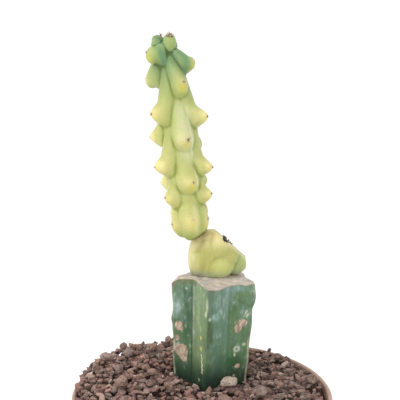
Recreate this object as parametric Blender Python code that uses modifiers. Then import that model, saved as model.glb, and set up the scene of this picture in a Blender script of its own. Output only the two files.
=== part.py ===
"""A grafted knobbly blue candle cactus in a round plastic pot of lava gravel.

Metres, +Z up, the origin under the middle of the pot on the surface it stands on, the front towards -Y.
Pieces: pot, gravel bed, five-ribbed rootstock, scion base, candle stem, areole pads and loose lava stones.
"""

import math
import random

import bmesh
import bpy
from mathutils import Euler, Matrix, Vector, noise
from mathutils.bvhtree import BVHTree

MM = 0.001
GAP = 0.3 * MM  # between pieces that touch on the real plant

# Pot: a 90 mm nursery pot with a stepped collar
POT_HEIGHT = 78.8 * MM
RIM_RADIUS = 45 * MM
COLLAR_DEPTH = 12 * MM
COLLAR_STEP = 1.6 * MM
WALL = 1.5 * MM
FOOT_RADIUS = 32 * MM
FOOT_WIDTH = 4 * MM
FOOT_DEPTH = 3 * MM
FLOOR = 1.6 * MM
DRAIN_RADIUS = 2.5 * MM
DRAIN_CIRCLE = 19 * MM
DRAIN_COUNT = 8
POT_SIDES = 48

# Gravel bed: its top is a low mound, heaped at the left and the back
BED_LEVEL = 79.3 * MM
BED_TILTS = (0.082, 0.045)  # drop per unit of +X, left and right of the middle
BED_BACK_RISE = 0.03  # rise per unit of +Y
BED_DOME = 3.2 * MM
BED_HEAP = (Vector((-16, 12, 0)) * MM, 14 * MM, 3.0 * MM)  # middle, spread and height of the heap by the stem
BED_FILL = (16 * MM, 38 * MM, 1.6 * MM)  # from and to which x it rises at the right, and how much
BED_LUMP = 0.55 * MM
BED_EDGE_RISE = 1.0 * MM
BED_EDGE_SLOPE = 1.6  # rise per unit from the rim inwards, the steepest the gravel stands
BED_RINGS = 9

# Rootstock: a five-ribbed column cut across for the graft; its ribs stand unevenly
STOCK_CENTRE = Vector((3.6, 6.3, 0)) * MM
STOCK_STAR = (  # direction in degrees and radius in mm: crest, valley, crest and so on
    (198, 15.4), (228, 9.9), (265, 15.3), (307, 9.9), (343, 15.9),
    (374, 11.9), (401, 15.5), (440, 10.4), (478, 15.4), (518, 10.2), (558, 15.4),
)
STOCK_CORNER_SIDES = 6  # sides between a crest and a valley
STOCK_ROUNDING = 0.65 * MM
STOCK_TAPER = 0.10  # share of the radius lost from the cut down to the soil
CUT_HEIGHT = 116 * MM
CUT_RIM = 115.7 * MM
CUT_STEP = 2.1 * MM  # how much higher the cut's left part is
CUT_DOME = 2.3 * MM  # how much higher the cut is under the scion
SOIL_HEIGHT = 81.5 * MM
CROWN_HEIGHT = 74 * MM
ROOT_TIP = 52 * MM
AREOLE_PITCH = 13 * MM

# Scion base: the squat ribbed stump left where the scion's first shoot was cut off
STUMP_LUMPS = (  # centre and half sizes in mm, lean to +X in degrees
    ((3.8, 8.6, 125.0), (8.2, 6.8, 8.9), 2),
    ((-1.1, 8.0, 124.6), (3.9, 4.8, 8.7), 4),
    ((2.0, 6.2, 124.8), (4.6, 4.3, 8.2), 20),
    ((3.6, 6.6, 121.6), (5.2, 4.8, 6.2), 20),
    ((6.6, 6.0, 122.2), (5.2, 4.8, 6.3), 28),
    ((6.2, 6.4, 127.4), (5.6, 5.5, 6.3), 18),
    ((8.6, 6.4, 124.8), (4.6, 4.7, 5.0), 24),
    ((12.7, 8.9, 122.0), (3.8, 4.2, 5.2), 30),
    ((9.6, 13.0, 123.8), (4.6, 4.4, 7.2), 6),
    ((4.6, 14.6, 124.0), (4.2, 3.6, 8.0), 2),
    ((-0.4, 12.4, 124.2), (4.2, 4.2, 8.4), 6),
)
SCAR_POINT = Vector((10.1, 7.0, 129.1)) * MM
SCAR_NORMAL = Vector((0.669, 0.11, 0.743)).normalized()
END_POINT = Vector((15.6, 8, 123)) * MM
END_NORMAL = Vector((0.985, 0.02, 0.10)).normalized()

# Candle stem: six ribs of drop-shaped tubercles on a leaning, slightly curved axis
STEM_FOOT = Vector((-3.75, 6.0, 131.0)) * MM
STEM_LEAN = 0.075
STEM_CURVE = 0.00058 / MM
STEM_TOP = 66 * MM
STEM_GIRTH = ((0, 5.4), (6, 6.4), (22, 6.6), (40, 5.9), (55, 4.8), (62, 3.6), (66, 2.4))  # height, radius, mm
NECK_POINT = Vector((-0.8, 4.0, 132.6)) * MM
NECK_NORMAL = Vector((-0.5, -0.10, 0.866)).normalized()
TUCK = 5.0  # how far a tubercle's top lies up under the one above, mm
ROOT_REACH = ((0, 5.2), (45, 5.0), (60, 4.4), (68, 3.0))
# Each rib: the height of its top, and its tubercles from the tip down: direction of the nose and of the top
# from the front towards +X in degrees; heights of the nose and the underside, reach and half width in mm;
# and how much of the swelling is a beak at the nose, or below zero how round its shoulder is
RIBS = {
    "front": (64.4, (
        (21, -2, 53.8, 47.4, 9.0, 3.0, -0.2), (8, 10, 34.6, 29.5, 9.9, 3.9, 0.2),
        (8, 5, 20.4, 15.0, 9.4, 4.1, 0.2), (4, 0, 7.5, -0.3, 7.5, 4.0, 0.0),
    )),
    "right_front": (65.6, (
        (64, 50, 61.0, 56.1, 8.9, 3.4, -0.3), (65, 58, 42.5, 37.8, 11.6, 3.8, 0.5),
        (66, 58, 25.4, 21.4, 11.2, 3.7, 0.45), (66, 58, 16.2, 11.8, 9.6, 3.7, 0.3),
        (64, 60, 7.4, 1.0, 7.3, 3.6, 0.0),
    )),
    "right_back": (66.0, (
        (134, 130, 49.5, 45.2, 7.2, 3.0, 0.3), (126, 122, 33.0, 29.0, 8.6, 3.6, 0.4),
        (124, 122, 20.4, 16.4, 9.0, 3.6, 0.3), (122, 122, 10.0, 3.0, 7.4, 3.6, 0.0),
    )),
    "back": (66.5, (
        (180, 176, 57.6, 53.0, 8.4, 3.2, 0.3), (180, 176, 40.0, 36.0, 10.2, 3.6, 0.4),
        (180, 176, 25.0, 21.0, 10.2, 3.7, 0.4), (178, 176, 14.0, 10.0, 8.8, 3.7, 0.2),
        (180, 176, 5.6, 0.0, 6.8, 3.7, 0.0),
    )),
    "left_back": (67.0, (
        (-112, -120, 55.6, 51.0, 10.8, 3.9, -0.3), (-112, -118, 35.3, 30.6, 12.9, 3.8, 0.3),
        (-112, -118, 19.4, 15.0, 10.3, 3.7, 0.3), (-114, -118, 8.8, 2.5, 7.2, 3.7, 0.0),
    )),
    "left_front": (67.6, (
        (-62, -54, 63.7, 58.8, 8.8, 3.4, -0.35), (-61, -54, 43.2, 37.8, 11.0, 3.9, 0.35),
        (-64, -60, 25.2, 21.0, 12.0, 4.2, 0.3), (-62, -62, 14.8, 10.2, 9.1, 4.0, 0.2),
        (-60, -62, 5.4, 0.6, 7.3, 3.8, 0.0),
    )),
}
BUDS = (  # round ones, most of them young: azimuth, height, how far out, half width and half height in mm
    (9, 66.9, 2.7, 2.3, 3.5), (-102, 68.6, 3.6, 2.2, 1.6), (152, 66.6, 2.4, 1.8, 2.4),
    (-160, 67.4, 2.6, 1.9, 2.4), (-62, 62.9, 6.5, 2.5, 3.0), (64, 60.2, 7.0, 1.8, 2.3),
    (-112, 55.1, 8.4, 2.2, 3.3), (-75, 66.7, 4.3, 1.9, 1.8),
)
FRONT_AREOLES_OFF = (2, 7, 10, 7)  # degrees that the front rib's areoles sit to the right of its noses

PAD_RADIUS = 0.7 * MM
PAD_FLATNESS = 0.5
STONE_COUNT = 20
SEED = 11


def clear_scene():
    for obj in list(bpy.data.objects):
        bpy.data.objects.remove(obj, do_unlink=True)


def new_collection(name):
    group = bpy.data.collections.new(name)
    bpy.context.scene.collection.children.link(group)
    return group


def add_object(name, bm, group, finish):
    """The bmesh as an object of its own, shaded smooth, in its collection."""
    bm.normal_update()
    bmesh.ops.recalc_face_normals(bm, faces=bm.faces)
    mesh = bpy.data.meshes.new(name)
    bm.to_mesh(mesh)
    bm.free()
    mesh.shade_smooth()
    obj = bpy.data.objects.new(name, mesh)
    group.objects.link(obj)
    if finish:
        mesh.materials.append(finish)
    return obj


def material(name, colour, roughness):
    finish = bpy.data.materials.new(name)
    finish.use_nodes = True
    shader = finish.node_tree.nodes["Principled BSDF"]
    shader.inputs["Base Color"].default_value = (*colour, 1)
    shader.inputs["Roughness"].default_value = roughness
    shader.inputs["Metallic"].default_value = 0
    return finish


def cut_away(obj, cutter):
    """Takes the cutter's volume off the object and hides the cutter."""
    cutter.hide_render = True
    cutter.display_type = "WIRE"
    cut = obj.modifiers.new("cut_" + cutter.name, "BOOLEAN")
    cut.operation = "DIFFERENCE"
    cut.solver = "EXACT"
    cut.object = cutter


def slab(name, point, normal, group, size=60 * MM):
    """A cutter that fills the side of a plane that its normal points to."""
    bm = bmesh.new()
    bmesh.ops.create_cube(bm, size=size)
    turn = normal.to_track_quat("Z", "X").to_matrix().to_4x4()
    bm.transform(Matrix.Translation(point + normal * size / 2) @ turn)
    return add_object(name, bm, group, None)


def evaluated_tree(obj):
    """A search tree of the object's surface with its modifiers, in world space."""
    depsgraph = bpy.context.evaluated_depsgraph_get()
    return BVHTree.FromObject(obj, depsgraph)


def interpolate(stations, at):
    """The value at a place between a few (place, value) stations."""
    for (low, first), (high, second) in zip(stations, stations[1:]):
        if at <= high:
            return first + (second - first) * max(0, at - low) / (high - low)
    return stations[-1][1]


# ---------------------------------------------------------------- pot


def pot_profile():
    """Half section: the inside from the middle of the floor up, over the lip, and down the outside."""
    step_z = POT_HEIGHT - COLLAR_DEPTH
    shoulder = RIM_RADIUS - 0.5 * MM
    body = shoulder - COLLAR_STEP
    floor_z = FOOT_DEPTH + FLOOR
    lip = WALL / 3
    return [
        (0, floor_z),
        (FOOT_RADIUS - WALL - 1.5 * MM, floor_z),
        (FOOT_RADIUS - WALL + 0.2 * MM, floor_z + 1.5 * MM),
        (body - WALL, step_z - 0.6 * MM),
        (shoulder - WALL, step_z + 1.2 * MM),
        (RIM_RADIUS - WALL, POT_HEIGHT - lip),
        (RIM_RADIUS - WALL + lip, POT_HEIGHT),
        (RIM_RADIUS - lip, POT_HEIGHT),
        (RIM_RADIUS, POT_HEIGHT - lip),
        (shoulder, step_z),
        (body, step_z - 0.8 * MM),
        (FOOT_RADIUS, 0.8 * MM),
        (FOOT_RADIUS - 0.8 * MM, 0),
        (FOOT_RADIUS - FOOT_WIDTH, 0),
        (FOOT_RADIUS - FOOT_WIDTH - 0.8 * MM, FOOT_DEPTH),
        (0, FOOT_DEPTH),
    ]


def turned(name, profile, group, finish, sides):
    mesh = bpy.data.meshes.new(name)
    points = [(radius, 0, z) for radius, z in profile]
    mesh.from_pydata(points, [(i, i + 1) for i in range(len(points) - 1)], [])
    mesh.materials.append(finish)
    obj = bpy.data.objects.new(name, mesh)
    group.objects.link(obj)
    screw = obj.modifiers.new("turn", "SCREW")
    screw.steps = sides
    screw.render_steps = sides
    screw.use_merge_vertices = True
    screw.merge_threshold = 0.00005
    screw.use_smooth_shade = True
    return obj


def make_pot(parts, cutters):
    pot = turned("pot", pot_profile(), parts, material("pot_plastic", (0.36, 0.19, 0.13), 0.45), POT_SIDES)
    for index in range(DRAIN_COUNT):
        angle = math.tau * (index + 0.5) / DRAIN_COUNT
        bm = bmesh.new()
        bmesh.ops.create_cone(
            bm, cap_ends=True, segments=12, radius1=DRAIN_RADIUS, radius2=DRAIN_RADIUS, depth=4 * FLOOR
        )
        across = Vector((math.cos(angle), math.sin(angle), 0)) * DRAIN_CIRCLE
        bm.transform(Matrix.Translation(across + Vector((0, 0, FOOT_DEPTH + FLOOR / 2))))
        cut_away(pot, add_object(f"drain_{index + 1}", bm, cutters, None))
    return pot


# ---------------------------------------------------------------- rootstock


def star_turn(share):
    """The direction in degrees at a share of the way round, even between neighbouring corners of the star."""
    corners = len(STOCK_STAR) - 1
    corner = min(int(share * corners), corners - 1)
    first, second = STOCK_STAR[corner][0], STOCK_STAR[corner + 1][0]
    return first + (second - first) * (share * corners - corner)


def stock_radius(turn, z):
    """The ribbed section's radius in a direction in degrees at a height, above or below the soil."""
    for (first, inner), (second, outer) in zip(STOCK_STAR, STOCK_STAR[1:]):
        if turn <= second:
            break
    a, b, angle = math.radians(first), math.radians(second), math.radians(turn)
    flank = inner * outer * math.sin(b - a) / (inner * math.sin(angle - a) + outer * math.sin(b - angle))
    flank += 0.45 * math.sin(math.pi * (turn - first) / (second - first))
    off_crest = turn - first if inner > outer else second - turn
    flank = flank * MM - STOCK_ROUNDING * math.exp(-((off_crest / 5.0) ** 2))
    bulge = math.cos(math.tau * (CUT_HEIGHT - z - 2 * MM) / AREOLE_PITCH)
    flank += 0.16 * MM * math.exp(-((off_crest / 9) ** 2)) * bulge
    below_cut = (CUT_HEIGHT - z) / (CUT_HEIGHT - SOIL_HEIGHT)
    radius = flank * (1 - STOCK_TAPER * min(1, below_cut))
    if z < CROWN_HEIGHT:
        left = (z - ROOT_TIP) / (CROWN_HEIGHT - ROOT_TIP)
        radius = radius * math.sqrt(max(0.02, left)) * (0.55 + 0.45 * left)
    return radius


def smooth_step(value, low, high):
    share = min(1, max(0, (value - low) / (high - low)))
    return share * share * (3 - 2 * share)


def cut_height(x, y):
    """The dried cut: high at the left and under the scion, sunk at the rib tips."""
    x, y = x / MM, y / MM
    step = CUT_STEP * (1 - smooth_step(x, -2.6, 2.4)) * min(1, max(0.2, 1 - 0.055 * (y - 2)))
    seat = CUT_DOME * math.exp(-((x - 4.8) ** 2 + (y - 8.4) ** 2) / 80)
    bump = 0.4 * math.exp(-(((x - 13.0) / 1.8) ** 2))
    dip = 0.6 * smooth_step(x, 2.5, 6.5) * smooth_step(-y, -9, 1)
    return min(CUT_RIM + max(step, seat) + (bump - dip) * MM, (115.5 + 0.8 * (x + 10.9)) * MM)


def stock_mesh(grow):
    """The whole column, its radius and length larger by grow."""
    bottom = ROOT_TIP - grow
    rise = CUT_HEIGHT - bottom
    sides = STOCK_CORNER_SIDES * (len(STOCK_STAR) - 1)
    bm = bmesh.new()
    bmesh.ops.create_cone(bm, cap_ends=True, segments=sides, radius1=1, radius2=1, depth=1)
    uprights = [edge for edge in bm.edges if abs(edge.verts[0].co.z - edge.verts[1].co.z) > 0.5]
    bmesh.ops.subdivide_edges(bm, edges=uprights, cuts=14, use_grid_fill=False)
    top = [face for face in bm.faces if face.calc_center_median().z > 0.499]
    for _ in range(4):
        bmesh.ops.inset_region(bm, faces=top, thickness=0.2, use_even_offset=False)
    bmesh.ops.poke(bm, faces=top)
    for vert in bm.verts:
        share = vert.co.z + 0.5
        turn = star_turn(math.atan2(vert.co.y, vert.co.x) / math.tau % 1)
        angle = math.radians(turn)
        z = bottom + rise * share
        radius = vert.co.xy.length * (stock_radius(turn, z) + grow)
        lean = 0.03 * max(0, CUT_HEIGHT - max(z, SOIL_HEIGHT))
        place = STOCK_CENTRE + Vector((radius * math.cos(angle) - lean, radius * math.sin(angle), 0))
        place.z = bottom + (cut_height(place.x, place.y) + grow - bottom) * share
        vert.co = place
    return bm


def make_rootstock(parts):
    green = material("rootstock_skin", (0.07, 0.17, 0.07), 0.5)
    return add_object("rootstock", stock_mesh(0), parts, green)


# ---------------------------------------------------------------- gravel bed


def bed_height(x, y):
    """The gravel's surface: a low dome on a slope, with lumps."""
    away = math.hypot(x, y) / RIM_RADIUS
    lumps = noise.noise(Vector((x, y, 0)) / (7 * MM)) + noise.noise(Vector((y, x, 1)) / (3.5 * MM)) * 0.6
    slope = BED_BACK_RISE * y - BED_TILTS[x > 0] * x
    mound = BED_LEVEL + slope + BED_DOME * (1 - away * away)
    middle, spread, height = BED_HEAP
    mound += height * math.exp(-((x - middle.x) ** 2 + (y - middle.y) ** 2) / spread**2)
    first, last, rise = BED_FILL
    mound += rise * min(1, max(0, (x - first) / (last - first)))
    heaped = POT_HEIGHT + BED_EDGE_RISE + BED_EDGE_SLOPE * (RIM_RADIUS - WALL - math.hypot(x, y))
    return min(mound, heaped) + BED_LUMP * lumps


def pot_inner_radius(z):
    """The pot's inside radius at a height, from its half section."""
    inside = [(height, radius) for radius, height in pot_profile()[1:7]]
    return interpolate(inside, z)


def make_gravel_bed(parts, cutters):
    grit = material("lava_gravel", (0.20, 0.13, 0.11), 0.95)
    floor_z = FOOT_DEPTH + FLOOR + GAP
    depth = POT_HEIGHT - 2 * MM - floor_z
    wall = [floor_z + share * depth for share in (0, 0.035, 0.3, 0.65, 0.82, 0.86, 1)]
    widest = pot_inner_radius(wall[-1]) - GAP
    profile = [(widest * ring / BED_RINGS, 1) for ring in range(BED_RINGS)] + [(widest, 1)]
    profile += [(pot_inner_radius(z) - 1.6 * GAP, z) for z in reversed(wall)]
    bm = bmesh.new()
    chain = [bm.verts.new((radius, 0, z)) for radius, z in profile] + [bm.verts.new((0, 0, floor_z))]
    edges = [bm.edges.new(pair) for pair in zip(chain, chain[1:])]
    bmesh.ops.spin(bm, geom=chain + edges, axis=(0, 0, 1), angle=math.tau, steps=POT_SIDES, use_merge=True)
    bmesh.ops.remove_doubles(bm, verts=bm.verts, dist=0.01 * MM)
    for vert in bm.verts:
        if vert.co.z > 0.5:
            vert.co.z = bed_height(vert.co.x, vert.co.y)
    bed = add_object("gravel_bed", bm, parts, grit)
    cut_away(bed, add_object("stock_hollow", stock_mesh(GAP), cutters, None))
    return bed


# ---------------------------------------------------------------- scion: base and candle stem


def ellipsoid(bm, centre, size, turn, segments=14, rings=9):
    """One closed ellipsoid, added to the bmesh."""
    made = bmesh.ops.create_uvsphere(bm, u_segments=segments, v_segments=rings, radius=1)
    move = Matrix.Translation(centre) @ turn.to_matrix().to_4x4() @ Matrix.Diagonal(size).to_4x4()
    bmesh.ops.transform(bm, matrix=move, verts=made["verts"])


def grown_together(obj, voxel, keep):
    """Melts the overlapping lumps of an object into one skin."""
    melt = obj.modifiers.new("grow_together", "REMESH")
    melt.mode = "VOXEL"
    melt.voxel_size = voxel
    melt.use_smooth_shade = True
    thin = obj.modifiers.new("fewer_faces", "DECIMATE")
    thin.ratio = keep


def make_scion_base(parts, cutters):
    """A lump of leaning ribs: seated on the rootstock's cut, with a slanting scar at the upper right."""
    bm = bmesh.new()
    for centre, size, lean in STUMP_LUMPS:
        ellipsoid(bm, Vector(centre) * MM, Vector(size) * MM, Euler((0, math.radians(lean), 0)))
    stump = add_object("scion_base", bm, parts, material("scion_base_skin", (0.52, 0.50, 0.17), 0.5))
    grown_together(stump, 0.7 * MM, 0.3)
    cut_away(stump, add_object("seat_cut", stock_mesh(GAP), cutters, None))
    cut_away(stump, slab("scar_cut", SCAR_POINT, SCAR_NORMAL, cutters))
    cut_away(stump, slab("end_cut", END_POINT, END_NORMAL, cutters))
    cut_away(stump, slab("stump_neck_cut", NECK_POINT - NECK_NORMAL * GAP, NECK_NORMAL, cutters))
    return stump


def stem_centre(height):
    """The stem's axis at a height above its foot; it leans and curves to -X."""
    return STEM_FOOT + Vector((-STEM_LEAN * height - STEM_CURVE * height**2, 0, height))


def outward(azimuth):
    """The level direction at an azimuth in degrees from the front (-Y) towards +X."""
    angle = math.radians(azimuth)
    return Vector((math.sin(angle), -math.cos(angle), 0))


def add_tubercle(bm, top, azimuth, top_azimuth, nose, low, reach, half_width, beak):
    """A drop: narrow under its neighbour above, swelling to the nose, tucked in below; sizes in mm."""
    inner = 1.5
    root = min(interpolate(ROOT_REACH, top), 0.7 * reach)
    nose_share = (top - nose) / (top - low)
    made = bmesh.ops.create_uvsphere(bm, u_segments=14, v_segments=18, radius=1)
    for vert in made["verts"]:
        down = (1 - vert.co.z) / 2
        ring = vert.co.xy.length ** 0.55
        angle = math.atan2(vert.co.y, vert.co.x)
        along = min(1, down / nose_share)
        power, pinch = 1.5 + 2 * min(0, beak), max(0, beak)
        swell = (1 - pinch) * along**power + pinch * smooth_step(along, 0.76, 0.98)
        if down > nose_share:
            swell = math.cos((down - nose_share) / (1 - nose_share) * math.pi / 2) ** 0.7
        edge = root + (reach - root) * swell
        width = half_width * (0.72 + 0.28 * along**0.8)
        out = outward(azimuth + (top_azimuth - azimuth) * (1 - along))
        aside = Vector((-out.y, out.x, 0))
        place = stem_centre((top - (top - low) * down) * MM)
        place += out * ((edge + inner) / 2 + (edge - inner) / 2 * ring * math.cos(angle)) * MM
        place += aside * (width * ring * math.sin(angle) * (1 - 0.2 * math.cos(angle))) * MM
        vert.co = place


def make_candle_stem(parts, cutters):
    """The tall knobbly shoot: a core and its tubercles, cut to the slanting neck that it grows from."""
    bm = bmesh.new()
    core = bmesh.ops.create_uvsphere(bm, u_segments=20, v_segments=24, radius=1)
    for vert in core["verts"]:
        height = STEM_TOP * (vert.co.z + 1) / 2
        angle = math.atan2(vert.co.y, vert.co.x)
        radius = interpolate(STEM_GIRTH, height / MM) * MM * vert.co.xy.length**0.45
        vert.co = stem_centre(height) + Vector((math.cos(angle), math.sin(angle), 0)) * radius
    areoles = []
    for rib, (top, tubercles) in RIBS.items():
        for index, tubercle in enumerate(tubercles):
            azimuth, nose, low, reach = tubercle[0], *tubercle[2:5]
            add_tubercle(bm, top, *tubercle)
            top = low + TUCK
            off = FRONT_AREOLES_OFF[index] if rib == "front" else 0
            areoles.append((azimuth + off, nose * MM, reach * MM))
    for azimuth, height, out, half_width, half_height in BUDS:
        place = stem_centre(height * MM) + outward(azimuth) * out * MM
        ellipsoid(bm, place, Vector((half_width, half_width, half_height)) * MM, Euler())
    stem = add_object("candle_stem", bm, parts, material("candle_skin", (0.50, 0.55, 0.20), 0.45))
    grown_together(stem, 0.85 * MM, 0.3)
    cut_away(stem, slab("neck_cut", NECK_POINT, -NECK_NORMAL, cutters))
    return stem, areoles


def make_areole_pads(parts, stem, areoles):
    """A woolly pad with its stub of spines on each tubercle's nose, on the sides that show."""
    wool = material("areole_wool", (0.10, 0.06, 0.04), 0.9)
    skin = evaluated_tree(stem)
    shown = [areole for areole in areoles if abs(areole[0]) < 100]
    for index, (azimuth, height, reach) in enumerate(shown):
        out = outward(azimuth)
        start = stem_centre(height) + out * (reach + 10 * MM)
        point, normal, _, _ = skin.ray_cast(start, -out)
        bm = bmesh.new()
        bmesh.ops.create_icosphere(bm, subdivisions=1, radius=PAD_RADIUS)
        flat = Matrix.Diagonal((1, 1, PAD_FLATNESS, 1))
        turn = normal.to_track_quat("Z", "X").to_matrix().to_4x4()
        lift = Matrix.Translation(point + normal * (PAD_RADIUS * PAD_FLATNESS + 1.1 * GAP))
        bm.transform(lift @ turn @ flat)
        add_object(f"areole_{index + 1:02d}", bm, parts, wool)


# ---------------------------------------------------------------- loose stones


def stone_mesh(size, seed):
    """An angular lava stone, its longest side about the given size."""
    bm = bmesh.new()
    bmesh.ops.create_icosphere(bm, subdivisions=2, radius=size / 2)
    for vert in bm.verts:
        at = vert.co / size * 2.2 + Vector((seed, 0, seed * 3))
        vert.co *= 1 + 0.35 * noise.noise(at)
    rng = random.Random(seed)
    flat = Matrix.Diagonal((1, rng.uniform(0.65, 0.9), rng.uniform(0.5, 0.75), 1))
    turn = Euler((rng.uniform(-0.4, 0.4), rng.uniform(-0.4, 0.4), rng.uniform(0, math.tau)))
    bm.transform(turn.to_matrix().to_4x4() @ flat)
    return bm


def settle(bm, x, y, bed):
    """Lowers a stone at (x, y) until it is one gap above the gravel's surface."""
    bm.transform(Matrix.Translation((x, y, 0.12)))
    least = 1.0
    for vert in bm.verts:
        hit = bed.ray_cast(vert.co, Vector((0, 0, -1)))
        if hit[0] is not None:
            least = min(least, hit[3])
    bm.transform(Matrix.Translation((0, 0, 1.5 * GAP - least)))


def stone_places():
    """Places on the gravel that keep clear of the rootstock, the rim and each other."""
    rng = random.Random(SEED)
    places = [(8.8 * MM, -7.2 * MM, 5.7 * MM), (-35.6 * MM, 10.1 * MM, 4.6 * MM)]
    while len(places) < STONE_COUNT:
        away = RIM_RADIUS * math.sqrt(rng.uniform(0.14, 0.74))
        angle = rng.uniform(0, math.tau)
        x = away * math.cos(angle)
        y = away * math.sin(angle)
        size = rng.uniform(3.6, 5.0) * MM
        from_stock = math.hypot(x - STOCK_CENTRE.x, y - STOCK_CENTRE.y)
        apart = all(math.hypot(x - a, y - b) > (size + c) * 0.75 for a, b, c in places)
        if apart and from_stock > 16 * MM + size * 0.8:
            places.append((x, y, size))
    return places


def make_stones(parts, bed):
    surface = evaluated_tree(bed)
    for index, (x, y, size) in enumerate(stone_places()):
        colour = (0.34, 0.28, 0.21) if index < 2 else (0.22, 0.12 + 0.01 * (index % 4), 0.11)
        bm = stone_mesh(size, SEED + index)
        settle(bm, x, y, surface)
        name = f"lava_stone_{index + 1:02d}"
        add_object(name, bm, parts, material(name, colour, 0.95))


clear_scene()
plant = new_collection("potted_blue_candle_cactus")
tools = new_collection("cutters")
make_pot(plant, tools)
gravel = make_gravel_bed(plant, tools)
make_rootstock(plant)
make_scion_base(plant, tools)
candle, noses = make_candle_stem(plant, tools)
bpy.context.view_layer.update()
make_areole_pads(plant, candle, noses)
make_stones(plant, gravel)
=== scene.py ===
"""A grafted blue candle cactus in a round plastic pot of lava gravel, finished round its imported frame.

Metres, +Z up, the origin under the middle of the pot on the floor, the front towards -Y.
"""

import math
import random

import bmesh
import bpy
import numpy as np
from mathutils import Euler, Matrix, Vector, noise
from mathutils.bvhtree import BVHTree


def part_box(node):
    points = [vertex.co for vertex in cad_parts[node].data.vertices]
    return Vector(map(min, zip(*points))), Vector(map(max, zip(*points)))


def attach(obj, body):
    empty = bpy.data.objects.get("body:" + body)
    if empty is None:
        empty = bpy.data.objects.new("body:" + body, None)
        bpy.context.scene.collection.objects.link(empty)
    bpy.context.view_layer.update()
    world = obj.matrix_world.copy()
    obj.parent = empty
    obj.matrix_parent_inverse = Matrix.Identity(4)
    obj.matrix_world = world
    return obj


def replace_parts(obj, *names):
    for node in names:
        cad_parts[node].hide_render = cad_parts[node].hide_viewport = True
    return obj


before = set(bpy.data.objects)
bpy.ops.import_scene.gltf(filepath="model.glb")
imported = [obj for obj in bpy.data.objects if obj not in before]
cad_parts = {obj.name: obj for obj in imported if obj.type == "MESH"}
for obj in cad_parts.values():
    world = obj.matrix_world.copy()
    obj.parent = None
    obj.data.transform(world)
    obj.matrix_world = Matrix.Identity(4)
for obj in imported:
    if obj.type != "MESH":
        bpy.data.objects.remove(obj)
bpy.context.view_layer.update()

# ---------------------------------------------------------------- studio
# A pale seamless floor in a white room, with one large soft lamp high on the left and a weak one
# low on the right. The camera stands a little above the plant, close in, looking slightly down.

MM = 0.001


def set_down(name, data):
    """A new object in the scene."""
    thing = bpy.data.objects.new(name, data)
    bpy.context.scene.collection.objects.link(thing)
    return thing


def mesh_from(name, bm):
    mesh = bpy.data.meshes.new(name)
    bm.to_mesh(mesh)
    bm.free()
    return mesh


eye = bpy.data.cameras.new("eye")
eye.sensor_width = 36
eye.lens = 54
eye.clip_start = 0.01
camera = set_down("camera", eye)
camera.location = Vector((-0.7, -203, 168)) * MM
camera.rotation_euler = (math.radians(83.6), 0, 0)
bpy.context.scene.camera = camera

room = bpy.data.worlds.new("white_room")
room.use_nodes = True
daylight = room.node_tree.nodes["Background"].inputs
daylight["Color"].default_value = (1, 1, 1, 1)
daylight["Strength"].default_value = 1.04
bpy.context.scene.world = room
bpy.context.scene.view_settings.view_transform = "Standard"
bpy.context.scene.view_settings.look = "None"


def hang_lamp(name, place, aim, width, watts, tint):
    lamp = bpy.data.lights.new(name, "AREA")
    lamp.size = width
    lamp.energy = watts
    lamp.color = tint
    hung = set_down(name, lamp)
    hung.location = place
    hung.rotation_euler = (Vector(aim) - Vector(place)).to_track_quat("-Z", "Y").to_euler()


hang_lamp("key_lamp", (-0.42, -0.38, 0.55), (0, 0, 0.12), 0.45, 1.7, (1.0, 0.98, 0.95))
hang_lamp("fill_lamp", (0.5, -0.5, 0.25), (0, 0, 0.12), 0.5, 0.3, (0.95, 0.98, 1.0))

bm = bmesh.new()
bmesh.ops.create_grid(bm, x_segments=1, y_segments=1, size=3.0)
floor_sheet = mesh_from("floor", bm)
paper = bpy.data.materials.new("floor_paper")
paper.use_nodes = True
paper_look = paper.node_tree.nodes["Principled BSDF"].inputs
paper_look["Base Color"].default_value = (0.98, 0.98, 0.98, 1)
paper_look["Roughness"].default_value = 0.9
floor_sheet.materials.append(paper)
floor = set_down("floor", floor_sheet)

# ---------------------------------------------------------------- pot
# A 90 mm nursery pot of brown plastic, injection moulded: thin walls with draft, a stepped collar
# under a rolled lip, a foot ring and eight drain holes in the floor.

POT_TOP = 78.8 * MM
RIM = 45 * MM
WALL = 1.6 * MM
FOOT = 32 * MM
FLOOR_TOP = 4.6 * MM
POT_STEPS = 160
DRAIN_HOLES, DRAIN_RING = 8, 19  # on a ring of this radius in mm


def colour(red, green, blue):
    """A colour as the eye sees it, 0 to 255, in the renderer's linear values."""
    seen = np.array((red, green, blue), float) / 255
    return np.where(seen <= 0.04045, seen / 12.92, ((seen + 0.055) / 1.055) ** 2.4)


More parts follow.
